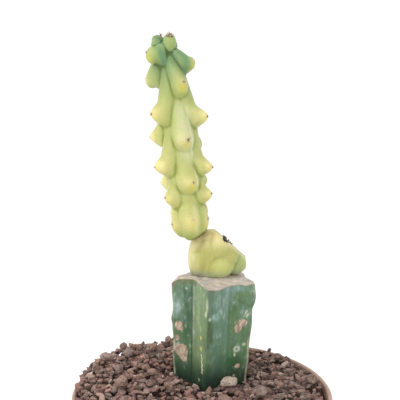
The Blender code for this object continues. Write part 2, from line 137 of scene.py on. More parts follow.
class Finish:
    """A material: its constant sockets are set first, and nodes then feed the others."""

    def __init__(self, name, **sockets):
        self.material = bpy.data.materials.new(name)
        self.material.use_nodes = True
        self.tree = self.material.node_tree
        self.shader = self.tree.nodes["Principled BSDF"]
        for socket, value in sockets.items():
            self.shader.inputs[socket.replace("_", " ")].default_value = value

    def wire(self, kind, sockets, **settings):
        """Adds a node; each of its sockets gets a value or another node's output."""
        node = self.tree.nodes.new("ShaderNode" + kind)
        for setting, value in settings.items():
            setattr(node, setting, value)
        for socket, value in sockets.items():
            if isinstance(value, bpy.types.NodeSocket):
                self.tree.links.new(value, node.inputs[socket])
            else:
                node.inputs[socket].default_value = value
        return node

    def mottle(self, grain, detail=4.0, rough=0.6, stretch=None):
        """Cloudy noise whose lumps are about a grain across, in mm, and longer along squeezed axes."""
        spot = self.wire("TexCoord", {}).outputs["Object"]
        if stretch:
            spot = self.wire("Mapping", {"Vector": spot, "Scale": stretch}).outputs["Vector"]
        sockets = {"Vector": spot, "Scale": 1 / (grain * MM), "Detail": detail, "Roughness": rough}
        return self.wire("TexNoise", sockets).outputs["Fac"]

    def between(self, value, low, high, out_low=0.0, out_high=1.0):
        """A smooth step of a value from low to high."""
        sockets = {"Value": value, "From Min": low, "From Max": high}
        sockets |= {"To Min": out_low, "To Max": out_high}
        return self.wire("MapRange", sockets, interpolation_type="SMOOTHSTEP").outputs["Result"]

    def patches(self, cloudiness, low, high, out_low=0.0, out_high=1.0):
        """Mottling, given as its arguments, with its lumps made distinct."""
        return self.between(self.mottle(*cloudiness), low, high, out_low, out_high)

    def mixed(self, share, first, second, mode="MIX"):
        """Two colours mixed by a share; index 6 and 7 are the Mix node's colour inputs."""
        sockets = {0: share, 6: first, 7: second}
        for index in (6, 7):
            if isinstance(sockets[index], tuple):
                sockets[index] = (*colour(*sockets[index]), 1)
        return self.wire("Mix", sockets, data_type="RGBA", blend_type=mode).outputs[2]

    def layered(self, paint, *coats):
        """Paint with coats of (share, colour) laid over it in turn."""
        for share, tint in coats:
            paint = self.mixed(share, paint, tint)
        return paint

    def tinted(self, paint, red, green, blue):
        """Paint with each of its channels darkened and lightened by a pattern."""
        tint = self.wire("CombineColor", {"Red": red, "Green": green, "Blue": blue}).outputs[0]
        return self.mixed(1.0, paint, tint, "MULTIPLY")

    def maths(self, what, first, second):
        return self.wire("Math", {0: first, 1: second}, operation=what).outputs[0]

    def bumped(self, height, depth, strength=1.0):
        """Relief as deep as given in mm."""
        sockets = {"Height": height, "Distance": depth * MM, "Strength": strength}
        return self.wire("Bump", sockets).outputs["Normal"]

    def brushed(self, name, output="Fac"):
        """What was brushed on the mesh's points under a name."""
        return self.wire("Attribute", {}, attribute_name=name).outputs[output]

    def coat(self, **sockets):
        """Links outputs to the shader's sockets."""
        for socket, value in sockets.items():
            self.tree.links.new(value, self.shader.inputs[socket.replace("_", " ")])


def faced_out(bm):
    bm.normal_update()
    bmesh.ops.recalc_face_normals(bm, faces=bm.faces)
    return bm


def add_piece(name, bm, finish):
    """The bmesh as a smooth piece that rides with the pot, with the finish's material on it."""
    return add_mesh_piece(name, mesh_from(name, faced_out(bm)), finish)


def add_mesh_piece(name, mesh, finish):
    """The same for a finished mesh."""
    mesh.shade_smooth()
    mesh.materials.clear()
    mesh.materials.append(finish.material)
    piece = set_down(name, mesh)
    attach(piece, "root")
    return piece


def settled_mesh(thing):
    """The object's mesh with its modifiers applied; the object itself is taken away."""
    bpy.context.view_layer.update()
    depsgraph = bpy.context.evaluated_depsgraph_get()
    mesh = bpy.data.meshes.new_from_object(thing.evaluated_get(depsgraph))
    bpy.data.objects.remove(thing, do_unlink=True)
    return mesh


def round_lip(outer, top, width):
    """The lip's half-round section from the inside over to the outside, as (radius, z) points."""
    half = width / 2
    turns = [math.pi * step / 8 for step in range(9)]
    return [(outer - half - half * math.cos(turn), top - half + half * math.sin(turn)) for turn in turns]


def spun(profile, steps):
    """A closed body turned from a half section that starts and ends on the axis."""
    bm = bmesh.new()
    chain = [bm.verts.new((radius, 0, z)) for radius, z in profile]
    edges = [bm.edges.new(pair) for pair in zip(chain, chain[1:])]
    bmesh.ops.spin(bm, geom=chain + edges, axis=(0, 0, 1), angle=math.tau, steps=steps, use_merge=True)
    bmesh.ops.remove_doubles(bm, verts=bm.verts, dist=0.01 * MM)
    return bm


step_z = POT_TOP - 12 * MM
body_top = RIM - 2.3 * MM
pot_profile = [
    (0, FLOOR_TOP),
    (FOOT - 4.4 * MM, FLOOR_TOP),
    (FOOT - 2.2 * MM, FLOOR_TOP + 0.7 * MM),
    (FOOT - 1.2 * MM, FLOOR_TOP + 2.4 * MM),
    (body_top - WALL, step_z - 0.8 * MM),
    (body_top - WALL + 0.4 * MM, step_z + 0.4 * MM),
    (RIM - 0.6 * MM - WALL, step_z + 1.6 * MM),
    *round_lip(RIM, POT_TOP, 1.6 * MM),
    (RIM - 0.05 * MM, POT_TOP - 1.6 * MM),
    (RIM - 0.45 * MM, POT_TOP - 2.4 * MM),
    (RIM - 0.6 * MM, step_z + 0.5 * MM),
    (RIM - 0.9 * MM, step_z),
    (body_top + 0.4 * MM, step_z - 0.4 * MM),
    (body_top, step_z - 1.0 * MM),
    (FOOT + 0.3 * MM, 1.6 * MM),
    (FOOT, 0.6 * MM),
    (FOOT - 0.5 * MM, 0),
    (FOOT - 3.6 * MM, 0),
    (FOOT - 4.2 * MM, 0.5 * MM),
    (FOOT - 4.6 * MM, 3.0 * MM),
    (3.2 * MM, 3.0 * MM),
    (2.9 * MM, 2.7 * MM),
    (0.9 * MM, 2.7 * MM),
    (0.7 * MM, 2.4 * MM),
    (0, 2.4 * MM),
]
pot_blank = set_down("pot_blank", mesh_from("pot_blank", faced_out(spun(pot_profile, POT_STEPS))))
drills = bmesh.new()
for hole in range(DRAIN_HOLES):
    angle = math.tau * (hole + 0.5) / DRAIN_HOLES
    made = bmesh.ops.create_cone(
        drills, cap_ends=True, segments=32, radius1=2.7 * MM, radius2=2.3 * MM, depth=8 * MM
    )
    spot = Vector((math.cos(angle) * DRAIN_RING, math.sin(angle) * DRAIN_RING, 4)) * MM
    bmesh.ops.translate(drills, verts=made["verts"], vec=spot)
drill_bits = set_down("drill_bits", mesh_from("drill_bits", drills))
drilled = pot_blank.modifiers.new("drilled", "BOOLEAN")
drilled.operation = "DIFFERENCE"
drilled.solver = "EXACT"
drilled.object = drill_bits
pot_mesh = settled_mesh(pot_blank)
bpy.data.objects.remove(drill_bits, do_unlink=True)

plastic = Finish("brown_pot_plastic", Roughness=0.42, Specular_IOR_Level=0.4)
scuffs = plastic.mottle(1.2, 5.0, 0.65, (1, 1, 0.2))
plastic.coat(
    Base_Color=plastic.layered(
        plastic.mixed(plastic.mottle(14, 3.0), (166, 134, 116), (182, 152, 134)),
        (plastic.patches((5, 6.0, 0.7, (1, 1, 0.35)), 0.52, 0.72, 0.0, 0.35), (205, 184, 170)),
        (plastic.patches((0.5, 2.0, 0.7), 0.62, 0.72, 0.0, 0.4), (120, 88, 72)),
    ),
    Roughness=plastic.between(scuffs, 0.3, 0.7, 0.36, 0.55),
    Normal=plastic.bumped(scuffs, 0.03, 0.5),
)
pot = add_mesh_piece("pot_shell", pot_mesh, plastic)
pot_mesh.set_sharp_from_angle(angle=math.radians(50))
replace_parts(pot, "pot")

# ---------------------------------------------------------------- gravel bed
# Fine lava grit fills the pot, coloured dark as painted shade: what shows of it is the shade between the
# grains that lie on it.
# It is a low mound that falls away to the right, a little below the tops of the grains.

BED_LEVEL = 79.3 * MM
BED_TILTS = (0.082, 0.045)  # drop per unit of +X, left and right of the middle
BED_DOME = 3.2 * MM
GRIT_DEPTH = 2.4 * MM
HEAP_X, HEAP_Y, HEAP_SPREAD, HEAP_RISE = -16, 12, 14, 3.0  # a heap behind the middle's left, mm


def bed_height(x, y):
    """The level that the grains' tops make: a low dome on a slope, heaped up from the rim."""
    away = math.hypot(x, y) / RIM
    lumps = noise.noise(Vector((x, y, 0)) / (7 * MM))
    lumps += 0.6 * noise.noise(Vector((y, x, 1)) / (3.5 * MM))
    mound = BED_LEVEL + 0.03 * y - BED_TILTS[x > 0] * x + BED_DOME * (1 - away * away)
    off_heap = ((x / MM - HEAP_X) ** 2 + (y / MM - HEAP_Y) ** 2) / HEAP_SPREAD**2
    mound += HEAP_RISE * MM * math.exp(-off_heap)
    mound += 1.6 * MM * min(1, max(0, (x / MM - 16) / 22))  # banked up at the right
    bank = POT_TOP + 2.6 * MM + 1.3 * (RIM - WALL - math.hypot(x, y))  # no steeper at the rim
    return min(mound, bank) + 0.55 * MM * lumps


grit_rings = 44
widest = RIM - 2.2 * MM
grit_profile = [(widest * ring / grit_rings, 1.0) for ring in range(grit_rings + 1)]
grit_profile += [
    (widest - 0.4 * MM, 73 * MM),
    (widest - 0.6 * MM, 68.6 * MM),
    (body_top - WALL - 0.3 * MM, 65 * MM),
    (FOOT - 1.5 * MM, FLOOR_TOP + 2.9 * MM),
    (FOOT - 4.6 * MM, FLOOR_TOP + 0.3 * MM),
    (0, FLOOR_TOP + 0.3 * MM),
]
bm = spun(grit_profile, 120)
for vert in bm.verts:
    if vert.co.z > 0.5:  # the rings of the top, still waiting a metre up
        x, y = vert.co.xy
        rough = noise.fractal(Vector((x, y, 2)) / (1.6 * MM), 1.0, 2.0, 3)
        low = min(bed_height(x, y) - GRIT_DEPTH, POT_TOP - 1.6 * MM + 0.6 * (widest - math.hypot(x, y)))
        vert.co.z = low + 0.7 * MM * rough
lava_grit = Finish("lava_grit", Roughness=0.95, Specular_IOR_Level=0.15)
speck = lava_grit.mottle(0.7, 5.0, 0.7)
# painted shade: the grit is dark so that the gaps between the grains read as shade
lava_grit.coat(
    Base_Color=lava_grit.mixed(lava_grit.between(speck, 0.35, 0.7), (58, 42, 36), (110, 84, 74)),
    Normal=lava_grit.bumped(speck, 0.5),
)
grit = add_piece("gravel_bed_fill", bm, lava_grit)
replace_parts(grit, "gravel_bed")

# ---------------------------------------------------------------- rootstock
# A living column of a green five-ribbed cactus, cut across for the graft: waxy skin with a grey bloom,
# pale crests with small areoles, corky healed wounds, and a dried beige callus on the cut face.

STOCK_X = 3.6 * MM
STOCK_Y = 6.3 * MM
CUT_Z = 116.0 * MM
SOIL_Z = 81.5 * MM
STOCK_FOOT = 52 * MM
STOCK_LEAN = -0.03  # along X per unit down from the cut
SOIL_TAPER = 0.10  # share of its girth that the column has lost at the soil
AREOLE_STEP = 13 * MM
CROWN_Z = 74 * MM  # below this the column tapers to its root crown
STOCK_SIDES = 360
STOCK_LEVELS = 140
LEFT_CREST = 198  # directions of the two crests that show at the sides, in degrees
RIGHT_CREST = 343
# (direction in degrees, radius in mm) round the column: crest, valley, crest and so on
STOCK_STAR = (
    (LEFT_CREST, 15.4), (228, 9.9), (265, 15.3), (307, 9.9), (RIGHT_CREST, 15.9),
    (374, 11.9), (401, 15.5), (440, 10.4), (478, 15.4), (518, 10.2), (558, 15.4),
)


def rise(value, low, high):
    """0 at low and 1 at high with a smooth change between them, and a fall where low is the higher."""
    share = np.clip((value - low) / (high - low), 0, 1)
    return share * share * (3 - 2 * share)


def hump(value, middle, width):
    """1 at the middle, dying away on both sides over about a width."""
    return np.exp(-(((value - middle) / width) ** 2))


def turned_from(direction, other):
    """How far a direction lies from another one, from -180 to 180 degrees."""
    return (direction - other + 180) % 360 - 180


def stock_radius(degrees, z):
    """The ribbed section's radius in each direction at each height, as arrays, in metres."""
    turn = (degrees - LEFT_CREST) % 360 + LEFT_CREST
    at, size = np.array(STOCK_STAR, float).T
    left = np.clip(np.searchsorted(at, turn, side="right") - 1, 0, len(at) - 2)
    a, b, angle = np.radians(at[left]), np.radians(at[left + 1]), np.radians(turn)
    flank = size[left] * size[left + 1] * np.sin(b - a)
    flank = flank / (size[left] * np.sin(angle - a) + size[left + 1] * np.sin(b - angle))
    past, ahead = turn - at[left], at[left + 1] - turn
    flank += 0.45 * np.sin(math.pi * (past / (at[left + 1] - at[left])))  # the flanks swell a little
    falls = size[left] > size[left + 1]
    off_crest = np.where(falls, past, ahead)
    flank -= 0.65 * hump(off_crest, 0, 5)  # worn round at the crest
    flank += 0.35 * hump(np.where(falls, ahead, past), 0, 5)  # and filled at the valley
    # The crests swell at each areole, the left one has a knuckle, and the right one a shoulder
    flank += 0.16 * hump(off_crest, 0, 9) * np.cos(math.tau * (CUT_Z - z - 2.0 * MM) / AREOLE_STEP)
    flank += 0.5 * hump(turned_from(turn, LEFT_CREST), 0, 14) * hump(z / MM, 103.6, 1.6)
    shoulder = 0.75 * rise(z / MM, 106.5, 110) - 0.75 * rise(z / MM, 111, 116) + 0.25
    flank += hump(turn, RIGHT_CREST, 14) * shoulder
    radius = flank * MM * (1 - SOIL_TAPER * np.minimum(1, (CUT_Z - z) / (CUT_Z - SOIL_Z)))
    buried = np.clip((z - STOCK_FOOT) / (CROWN_Z - STOCK_FOOT), 0, 1)
    tapered = radius * np.sqrt(np.maximum(0.02, buried)) * (0.55 + 0.45 * buried)
    return np.where(z < CROWN_Z, tapered, radius)


def cut_height(x, y):
    """The dried cut: high at the left and under the stump, sunk at the rib tips."""
    x, y = x / MM, y / MM
    step = 2.1 * rise(x, 2.4, -2.6) * np.clip(1 - 0.055 * (y - 2), 0.2, 1)  # up at the left
    seat = 2.3 * np.exp(-((x - 4.8) ** 2 + (y - 8.4) ** 2) / 80)  # and under the stump
    right = 0.4 * hump(x, 13, 1.8) - 0.6 * rise(x, 2.5, 6.5) * rise(-y, -9, 1)  # sunk at the front
    high = 115.7 + np.maximum(step, seat) + right
    off_x, off_y = x - STOCK_X / MM, y - STOCK_Y / MM
    ridges = 0.14 * np.sin(np.hypot(off_x, off_y) * 1.9 + 1.2 * np.sin(np.arctan2(off_y, off_x) * 5))
    return (np.minimum(high, 115.5 + 0.8 * (x + 10.9)) + ridges) * MM


bm = bmesh.new()
bmesh.ops.create_cone(bm, cap_ends=True, segments=STOCK_SIDES, radius1=1, radius2=1, depth=1)
uprights = [edge for edge in bm.edges if abs(edge.verts[0].co.z - edge.verts[1].co.z) > 0.5]
bmesh.ops.subdivide_edges(bm, edges=uprights, cuts=STOCK_LEVELS, use_grid_fill=False)
cut_face = [face for face in bm.faces if face.calc_center_median().z > 0.499]
for width in (0.02, 0.03, *[0.06] * 13):
    bmesh.ops.inset_region(bm, faces=cut_face, thickness=width, use_even_offset=False)
bmesh.ops.poke(bm, faces=cut_face + [face for face in bm.faces if face.calc_center_median().z < -0.499])
body = mesh_from("rootstock", faced_out(bm))


def rows_of(parts, what, width, kind=float):
    """One property of all of a mesh's vertices or edges, a row for each."""
    flat = np.empty(len(parts) * width, dtype=kind)
    parts.foreach_get(what, flat)
    return flat.reshape(-1, width)


def points_of(mesh):
    return rows_of(mesh.vertices, "co", 3)


def move_points(mesh, points):
    mesh.vertices.foreach_set("co", points.ravel())
    mesh.update()


def brush_on(mesh, name, values):
    """Writes one value or one colour for each vertex, for the finish to read."""
    if values.ndim == 1:
        mesh.attributes.new(name, "FLOAT", "POINT").data.foreach_set("value", values.astype(np.float32))
        return
    full = np.concatenate([values, np.ones((len(values), 1))], axis=1).astype(np.float32)
    mesh.color_attributes.new(name, "FLOAT_COLOR", "POINT").data.foreach_set("color", full.ravel())


def painted(paint, *coats):
    """Paint with coats of (tint, thickness) laid over it in turn."""
    for tint, share in coats:
        tint = colour(*tint) if isinstance(tint, tuple) else tint
        paint = paint + (tint - paint) * np.clip(share, 0, 1)[:, None]
    return paint


def wavy(points, size, seed):
    """Smooth noise at each point from -1 to 1; size in mm, one value or one for each axis."""
    scaled = points / (np.array(size) * MM) + seed
    return np.array([noise.noise(Vector(p)) for p in scaled])


unit = points_of(body)
reach = np.hypot(unit[:, 0], unit[:, 1])
direction = np.degrees(np.arctan2(unit[:, 1], unit[:, 0])) % 360
out_x, out_y = np.cos(np.radians(direction)), np.sin(np.radians(direction))
on_cut = (unit[:, 2] > 0.4999) & (reach < 0.999)
side_z = STOCK_FOOT + (CUT_Z - STOCK_FOOT) * (unit[:, 2] + 0.5)
radius = stock_radius(direction, side_z) * np.minimum(reach, 1)
lean = STOCK_LEAN * np.maximum(0, CUT_Z - np.maximum(side_z, SOIL_Z))
points = np.stack([STOCK_X + lean + radius * out_x, STOCK_Y + radius * out_y, side_z], axis=1)
edge_height = cut_height(points[:, 0], points[:, 1])
side_share = (side_z - STOCK_FOOT) / (CUT_Z - STOCK_FOOT)
points[:, 2] = STOCK_FOOT + (edge_height - STOCK_FOOT) * side_share
points[:, 2] += np.where(on_cut, 0.22 * MM * rise(reach, 0.999, 0.95), 0)

# Skin marks are placed by direction in degrees, from 90 at the back over 270 in front to 450, and by
# height in mm; distances are along the skin in mm.
skin_z = points[:, 2] / MM
straight_turn = (direction - 90) % 360 + 90
MEAN_RADIUS = 11.5


def oval(turn, z, wide, tall, tilt=0.0):
    """1 at the middle of an oval on the skin, 0 at its edge, negative outside."""
    across = np.radians(turned_from(skin_turn, turn)) * MEAN_RADIUS
    up = skin_z - z
    c, s = math.cos(math.radians(tilt)), math.sin(math.radians(tilt))
    return 1 - np.hypot((across * c + up * s) / (wide / 2), (up * c - across * s) / (tall / 2))


def band(first, last, soft=1.2):
    """1 between two directions on the skin, fading over a few degrees at either side."""
    return rise(skin_turn, first - soft, first + soft) * rise(skin_turn, last + soft, last - soft)


on_side = (~on_cut) & (unit[:, 2] > -0.499)
cloud = wavy(points, (5, 5, 9), 3.0)
streak = wavy(points, (0.9, 0.9, 12), 7.0)
patchy = wavy(points, (2.2, 2.2, 3.5), 11.0)
scuff = wavy(points, (1.0, 1.0, 1.7), 17.0)

skin_turn = straight_turn + 1.3 * streak + 0.8 * patchy  # the broad patches have ragged edges
bloom = 0.30 * rise(skin_z, 98, 113) + 0.35 * cloud + 0.20 * patchy + 0.15 * scuff - 0.05
green = painted(
    colour(92, 122, 88),
    ((84, 112, 80), band(90, 222)),
    ((66, 98, 66), 0.8 * band(213, 227) * rise(skin_z, 92, 100)),
    # painted light, partly the skin's own colour: the front rib's left flank lighter, turned to the key
    # lamp
    ((120, 142, 98), 0.9 * band(230, 262) * rise(skin_z, 83, 92)),
    ((140, 160, 120), 0.5 * band(240, 252, 3) * rise(skin_z, 96, 104)),
    ((154, 162, 146), 0.7 * band(231, 235) * rise(skin_z, 90, 100)),
    # painted shade: a darker band on the front rib's right flank just past its crest, turned from the
    # lamp
    ((74, 98, 62), 0.85 * band(264, 271.5)),
    ((94, 128, 102), 0.8 * band(272, 306, 4)),
    ((128, 160, 140), 0.25 * band(296, 303, 4)),
    ((92, 122, 80), 0.8 * band(309, 360, 4)),
    ((70, 108, 66), 0.6 * np.clip(oval(328.5, 108, 12, 9), 0, 1)),
    ((56, 106, 62), 0.8 * rise(oval(311, 88.5, 9, 10), 0, 0.6)),
    ((142, 164, 156), np.clip(bloom, 0, 0.65) * (1 - 0.55 * band(236, 262))),
)
for turn, z, wide, tall, tint, share in (
    (203, 107.5, 5.5, 11, (148, 168, 164), 0.75), (205, 108, 2.6, 5, (160, 178, 176), 0.7),
    (316, 114.6, 14, 3.4, (120, 152, 150), 0.75), (299, 114.8, 3.2, 1.4, (150, 150, 168), 0.7),
    (275, 106.0, 3.4, 3.8, (158, 192, 186), 0.9), (281, 99, 4.0, 9, (124, 154, 142), 0.45),
    (271, 84.5, 3.6, 5.6, (104, 134, 136), 0.6), (322, 96, 8, 10, (112, 142, 118), 0.4),
):
    wax = share * rise(oval(turn, z, wide, tall), 0, 0.9) * (0.8 + 0.5 * scuff)
    green = painted(green, (tint, wax))
green = green * (1 + 0.09 * streak + 0.14 * scuff + 0.08 * patchy)[:, None]
green = painted(green, ((176, 192, 178), 0.4 * rise(scuff + 0.4 * patchy, 0.46, 0.66)))

skin_turn = straight_turn  # the smaller marks are crisp
# painted shade: the rib valleys darkened
for valley, valley_shade, width in (
    (227.6, 0.7, 1.5), (307.5, 0.22, 3.0), (374, 0.22, 3.0), (440, 0.22, 3.0), (518, 0.22, 3.0)
):
    green = painted(green, ((58, 72, 56), valley_shade * hump(turned_from(skin_turn, valley), 0, width)))
soil_shade = 1 - rise(skin_z + 2.0 * cloud, 81.5, 93 + 2 * band(90, 222))
green = painted(green, ((28, 48, 36), soil_shade * 0.88))
worn = np.clip(0.65 + 0.7 * patchy + 0.5 * scuff, 0, 1)
FRONT_CREST = 262.8
for crest, thick in ((198.5, 1.7), (FRONT_CREST, 1.5), (341.5, 1.2), (401, 1.5), (478, 1.5)):
    share = hump(turned_from(skin_turn, crest), 0, thick) * worn
    if crest == FRONT_CREST:  # worn pale above, and the side crests below
        share = 0.75 * share * rise(skin_z, 98, 102) * rise(patchy, -0.35, 0.25)
    else:
        share = share * (1 - 0.75 * rise(skin_z, 93.5, 97.5))
    green = painted(green, ((206, 206, 172), np.clip(0.95 * share, 0, 0.9)))
green = painted(
    green,
    ((130, 98, 78), 0.8 * (rise(skin_z, 114.4, 115.6) * rise(skin_turn, 204, 199.5))),
    ((98, 106, 64), 0.7 * rise(skin_z, 115.2, 116.4) * band(204, 240)),
)
for turn, z, wide, tall, tilt in (
    (217.7, 114.6, 0.9, 1.1, 0), (267.2, 105.6, 1.0, 1.2, 0), (334.5, 105.9, 0.8, 1.9, -24),
    (336.6, 104.6, 0.9, 2.2, -24), (332.6, 104.6, 0.6, 1.3, -24), (323, 83.2, 1.0, 1.2, 0),
    (335.2, 94.1, 1.5, 1.6, 0), (322.1, 90.8, 1.0, 1.8, 8), (260.9, 107.2, 0.9, 2.6, 0),
    (251.0, 83.4, 1.1, 1.2, 0),
):
    green = painted(green, ((200, 204, 176), 0.8 * rise(oval(turn, z, wide, tall, tilt), 0, 0.5)))
ring_mark = hump(oval(324.8, 92.8, 2.1, 2.4), 0.36, 0.34)
green = painted(
    green,
    ((200, 210, 188), 0.95 * ring_mark),
    ((212, 212, 128), 0.85 * rise(oval(253.6, 98.6, 1.0, 1.6), 0, 0.5)),
    ((212, 212, 128), 0.85 * rise(oval(254.1, 94.8, 1.0, 1.6), 0, 0.5)),
)
for dash in range(7):  # a row of cream nicks beside a crack that has healed brown
    nick = oval(255.2 + 0.3 * dash + 0.9 * (dash % 2), 92.4 - 1.0 * dash, 0.5, 1.1, 16)
    crack = oval(259.6 + 0.9 * dash, 98.0 - 1.1 * dash, 0.3, 1.8, 22)
    green = painted(
        green, ((226, 226, 196), 0.95 * rise(nick, 0, 0.3)), ((104, 92, 58), 0.8 * rise(crack, 0, 0.4))
    )
brush_on(body, "skin", green)

# Corky scars: (direction, height, width, height of the oval, tilt), all in degrees and millimetres
CORK = (
    (207.0, 100.9, 2.2, 3.2, 0), (209.6, 100.0, 1.2, 1.6, 0), (203.7, 96.4, 1.3, 2.2, 0),
    (210.4, 92.1, 3.9, 4.9, 12), (213.2, 89.9, 2.2, 3.6, 16),
    (324.8, 100.4, 2.2, 3.6, -8), (330.2, 102.1, 2.8, 2.5, -24), (327.5, 86.5, 1.5, 1.7, 0),
    (64, 103, 3.4, 5.0, 10), (92, 96, 2.2, 3.0, 0), (128, 108, 1.8, 2.2, 0), (150, 94, 3.0, 5.4, -16),
    (20, 100, 2.0, 3.6, 8), (355, 96, 1.2, 1.6, 0), (110, 88, 1.6, 1.8, 0),
)
cork = np.full(len(unit), -1.0)
for turn, z, wide, tall, tilt in CORK:
    cork = np.maximum(cork, oval(turn, z, wide, tall, tilt) * min(wide, tall) / 2)
cork = np.where(on_side, cork, -1.0)
brush_on(body, "cork", np.clip(cork, -1, 1.5))
brush_on(body, "cut", on_cut.astype(float))
callus_edge = np.where(on_cut, rise(reach, 0.93, 0.995), 0)
callus_edge += np.where(on_side, rise(side_z / MM, 115.5, 115.95), 0)
brush_on(body, "cut_edge", callus_edge)

relief = 0.05 * streak + 0.06 * patchy
relief += 0.16 * rise(cork, -0.15, 0.2) * (0.7 + 0.5 * patchy) - 0.14 * hump(cork, -0.22, 0.14)
relief = np.where(on_side, relief, 0)
points[:, 0] += relief * MM * out_x
points[:, 1] += relief * MM * out_y
points[:, 2] += np.where(on_cut, 0.10 * MM * wavy(points, 1.1, 5.0), 0)
move_points(body, points)

skin = Finish(
    "green_rib_skin", Roughness=0.45, Specular_IOR_Level=0.35, Subsurface_Weight=0.05,
    Subsurface_Scale=1.0, Subsurface_Radius=(0.8 * MM, 1.2 * MM, 0.5 * MM),
)
fine = skin.mottle(0.55, 5.0, 0.65)
fibre = skin.mottle(0.5, 3.0, 0.6, (1, 1, 0.08))
waxy = skin.tinted(
    skin.brushed("skin", "Color"),
    skin.between(fibre, 0.3, 0.7, 0.88, 1.10),
    skin.between(fibre, 0.3, 0.7, 0.90, 1.08),
    skin.between(fine, 0.3, 0.7, 0.80, 1.2),
)
frayed = skin.maths("ADD", skin.brushed("cork"), skin.patches((0.8, 5.0, 0.7), 0.2, 0.8, -0.2, 0.2))
is_cork = skin.between(frayed, -0.10, 0.12)
cork_tone = skin.patches((1.2, 6.0, 0.7, (1, 1, 0.6)), 0.3, 0.7)
rim = skin.between(skin.brushed("cut_edge"), 0.2, 0.9)
rim = skin.maths("MULTIPLY", rim, skin.between(fine, 0.35, 0.65, 0.2, 0.6))
waxy = skin.layered(
    waxy,
    (skin.patches((0.5, 3.0, 0.7), 0.36, 0.44, 0.45, 0.0), (52, 74, 52)),  # pores
    (skin.patches((1.0, 6.0, 0.7), 0.62, 0.72, 0.0, 0.5), (176, 192, 176)),  # flecks of wax
    (skin.between(frayed, -0.26, -0.02, 0.0, 0.35), (132, 122, 80)),
    (is_cork, skin.mixed(cork_tone, (134, 113, 96), (210, 190, 170))),
    (rim, (138, 122, 86)),
)
callus_tone = skin.patches((2.2, 6.0, 0.6, (0.6, 1.5, 1)), 0.25, 0.75)
callus = skin.layered(
    skin.mixed(callus_tone, (166, 154, 144), (216, 204, 190)),
    (skin.patches((4.0, 2.0), 0.50, 0.64, 0.0, 0.6), (180, 176, 180)),
    (rim, (148, 130, 106)),
)
is_cut = skin.between(skin.brushed("cut"), 0.25, 0.75)
dry = skin.maths("MAXIMUM", is_cork, is_cut)
depth = skin.mixed(dry, fibre, skin.mottle(0.45, 6.0, 0.75))
skin.coat(
    Base_Color=skin.mixed(is_cut, waxy, callus),
    Roughness=skin.between(dry, 0, 1, 0.42, 0.88),
    Normal=skin.bumped(depth, 0.12, 0.7),
)
rootstock = add_mesh_piece("rootstock_column", body, skin)
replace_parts(rootstock, "rootstock")

# ---------------------------------------------------------------- scion base
# The squat ribbed stump left where the scion's first shoot was cut off: yellow-green living flesh that
# has grown onto the cut, flattened at a healed slanting scar, with a black tuft left on the scar.


def unit_way(across, back, up):
    way = np.array((across, back, up))
    return way / np.linalg.norm(way)


# Three planes press the stump flat, each given by a spot on it and the way out of it: the slanting neck
# that the candle leans on, the healed scar, and the right-hand tip
NECK_SPOT = np.array((-0.8, 4.0, 132.6)) * MM
NECK_LEAN = math.radians(30)
NECK_UP = unit_way(-math.sin(NECK_LEAN), -0.10, math.cos(NECK_LEAN))
SCAR_SPOT = np.array((10.1, 7.0, 129.1)) * MM
SCAR_LEAN = math.radians(42)
SCAR_UP = unit_way(math.sin(SCAR_LEAN), 0.11, math.cos(SCAR_LEAN))
TIP_SPOT = np.array((15.6, 8, 123)) * MM
TIP_UP = unit_way(0.985, 0.02, 0.10)
# Each lobe's middle and half sizes in mm, and its lean to +X in degrees
STUMP_LOBES = (
    ((3.8, 8.6, 125.0), (8.2, 6.8, 8.9), 2), ((-1.1, 8.0, 124.6), (3.9, 4.8, 8.7), 4),
    ((2.0, 6.2, 124.8), (4.6, 4.3, 8.2), 20), ((3.6, 6.6, 121.6), (5.2, 4.8, 6.2), 20),
    ((6.6, 6.0, 122.2), (5.2, 4.8, 6.3), 28), ((6.2, 6.4, 127.4), (5.6, 5.5, 6.3), 18),
    ((8.6, 6.4, 124.8), (4.6, 4.7, 5.0), 24), ((12.7, 8.9, 122.0), (3.8, 4.2, 5.2), 30),
    ((9.6, 13.0, 123.8), (4.6, 4.4, 7.2), 6), ((4.6, 14.6, 124.0), (4.2, 3.6, 8.0), 2),
    ((-0.4, 12.4, 124.2), (4.2, 4.2, 8.4), 6),
)


def lump(bm, centre, size, lean=0):
    """One egg-shaped lump in millimetres, leaning to +X by degrees, added to the bmesh."""
    made = bmesh.ops.create_uvsphere(bm, u_segments=36, v_segments=24, radius=1)
    pose = Euler((0, math.radians(lean), 0)).to_matrix().to_4x4()
    shape = Matrix.Translation(Vector(centre) * MM) @ pose @ Matrix.Diagonal((*(Vector(size) * MM), 1))
    bmesh.ops.transform(bm, matrix=shape, verts=made["verts"])


def neighbour_mean(values, edges):
    """Each vertex's average over the vertices its edges reach."""
    first, second = edges.T
    size = len(values)
    count = np.bincount(edges.ravel(), minlength=size)
    sums = [
        np.bincount(first, column[second], size) + np.bincount(second, column[first], size)
        for column in values.reshape(size, -1).T
    ]
    return (np.stack(sums, axis=1) / np.maximum(count, 1)[:, None]).reshape(values.shape)


def relaxed(points, edges, passes, share=0.5):
    for _ in range(passes):
        points = points + share * (neighbour_mean(points, edges) - points)
    return points


def melted(name, bm, voxel, passes):
    """Overlapping lumps melted into one skin and smoothed: the mesh, its edges and its points."""
    draft = set_down(name, mesh_from(name, bm))
    melt = draft.modifiers.new("melt", "REMESH")
    melt.mode = "VOXEL"
    melt.voxel_size = voxel
    mesh = settled_mesh(draft)
    edges = rows_of(mesh.edges, "vertices", 2, np.int64)
    return mesh, edges, relaxed(points_of(mesh), edges, passes)


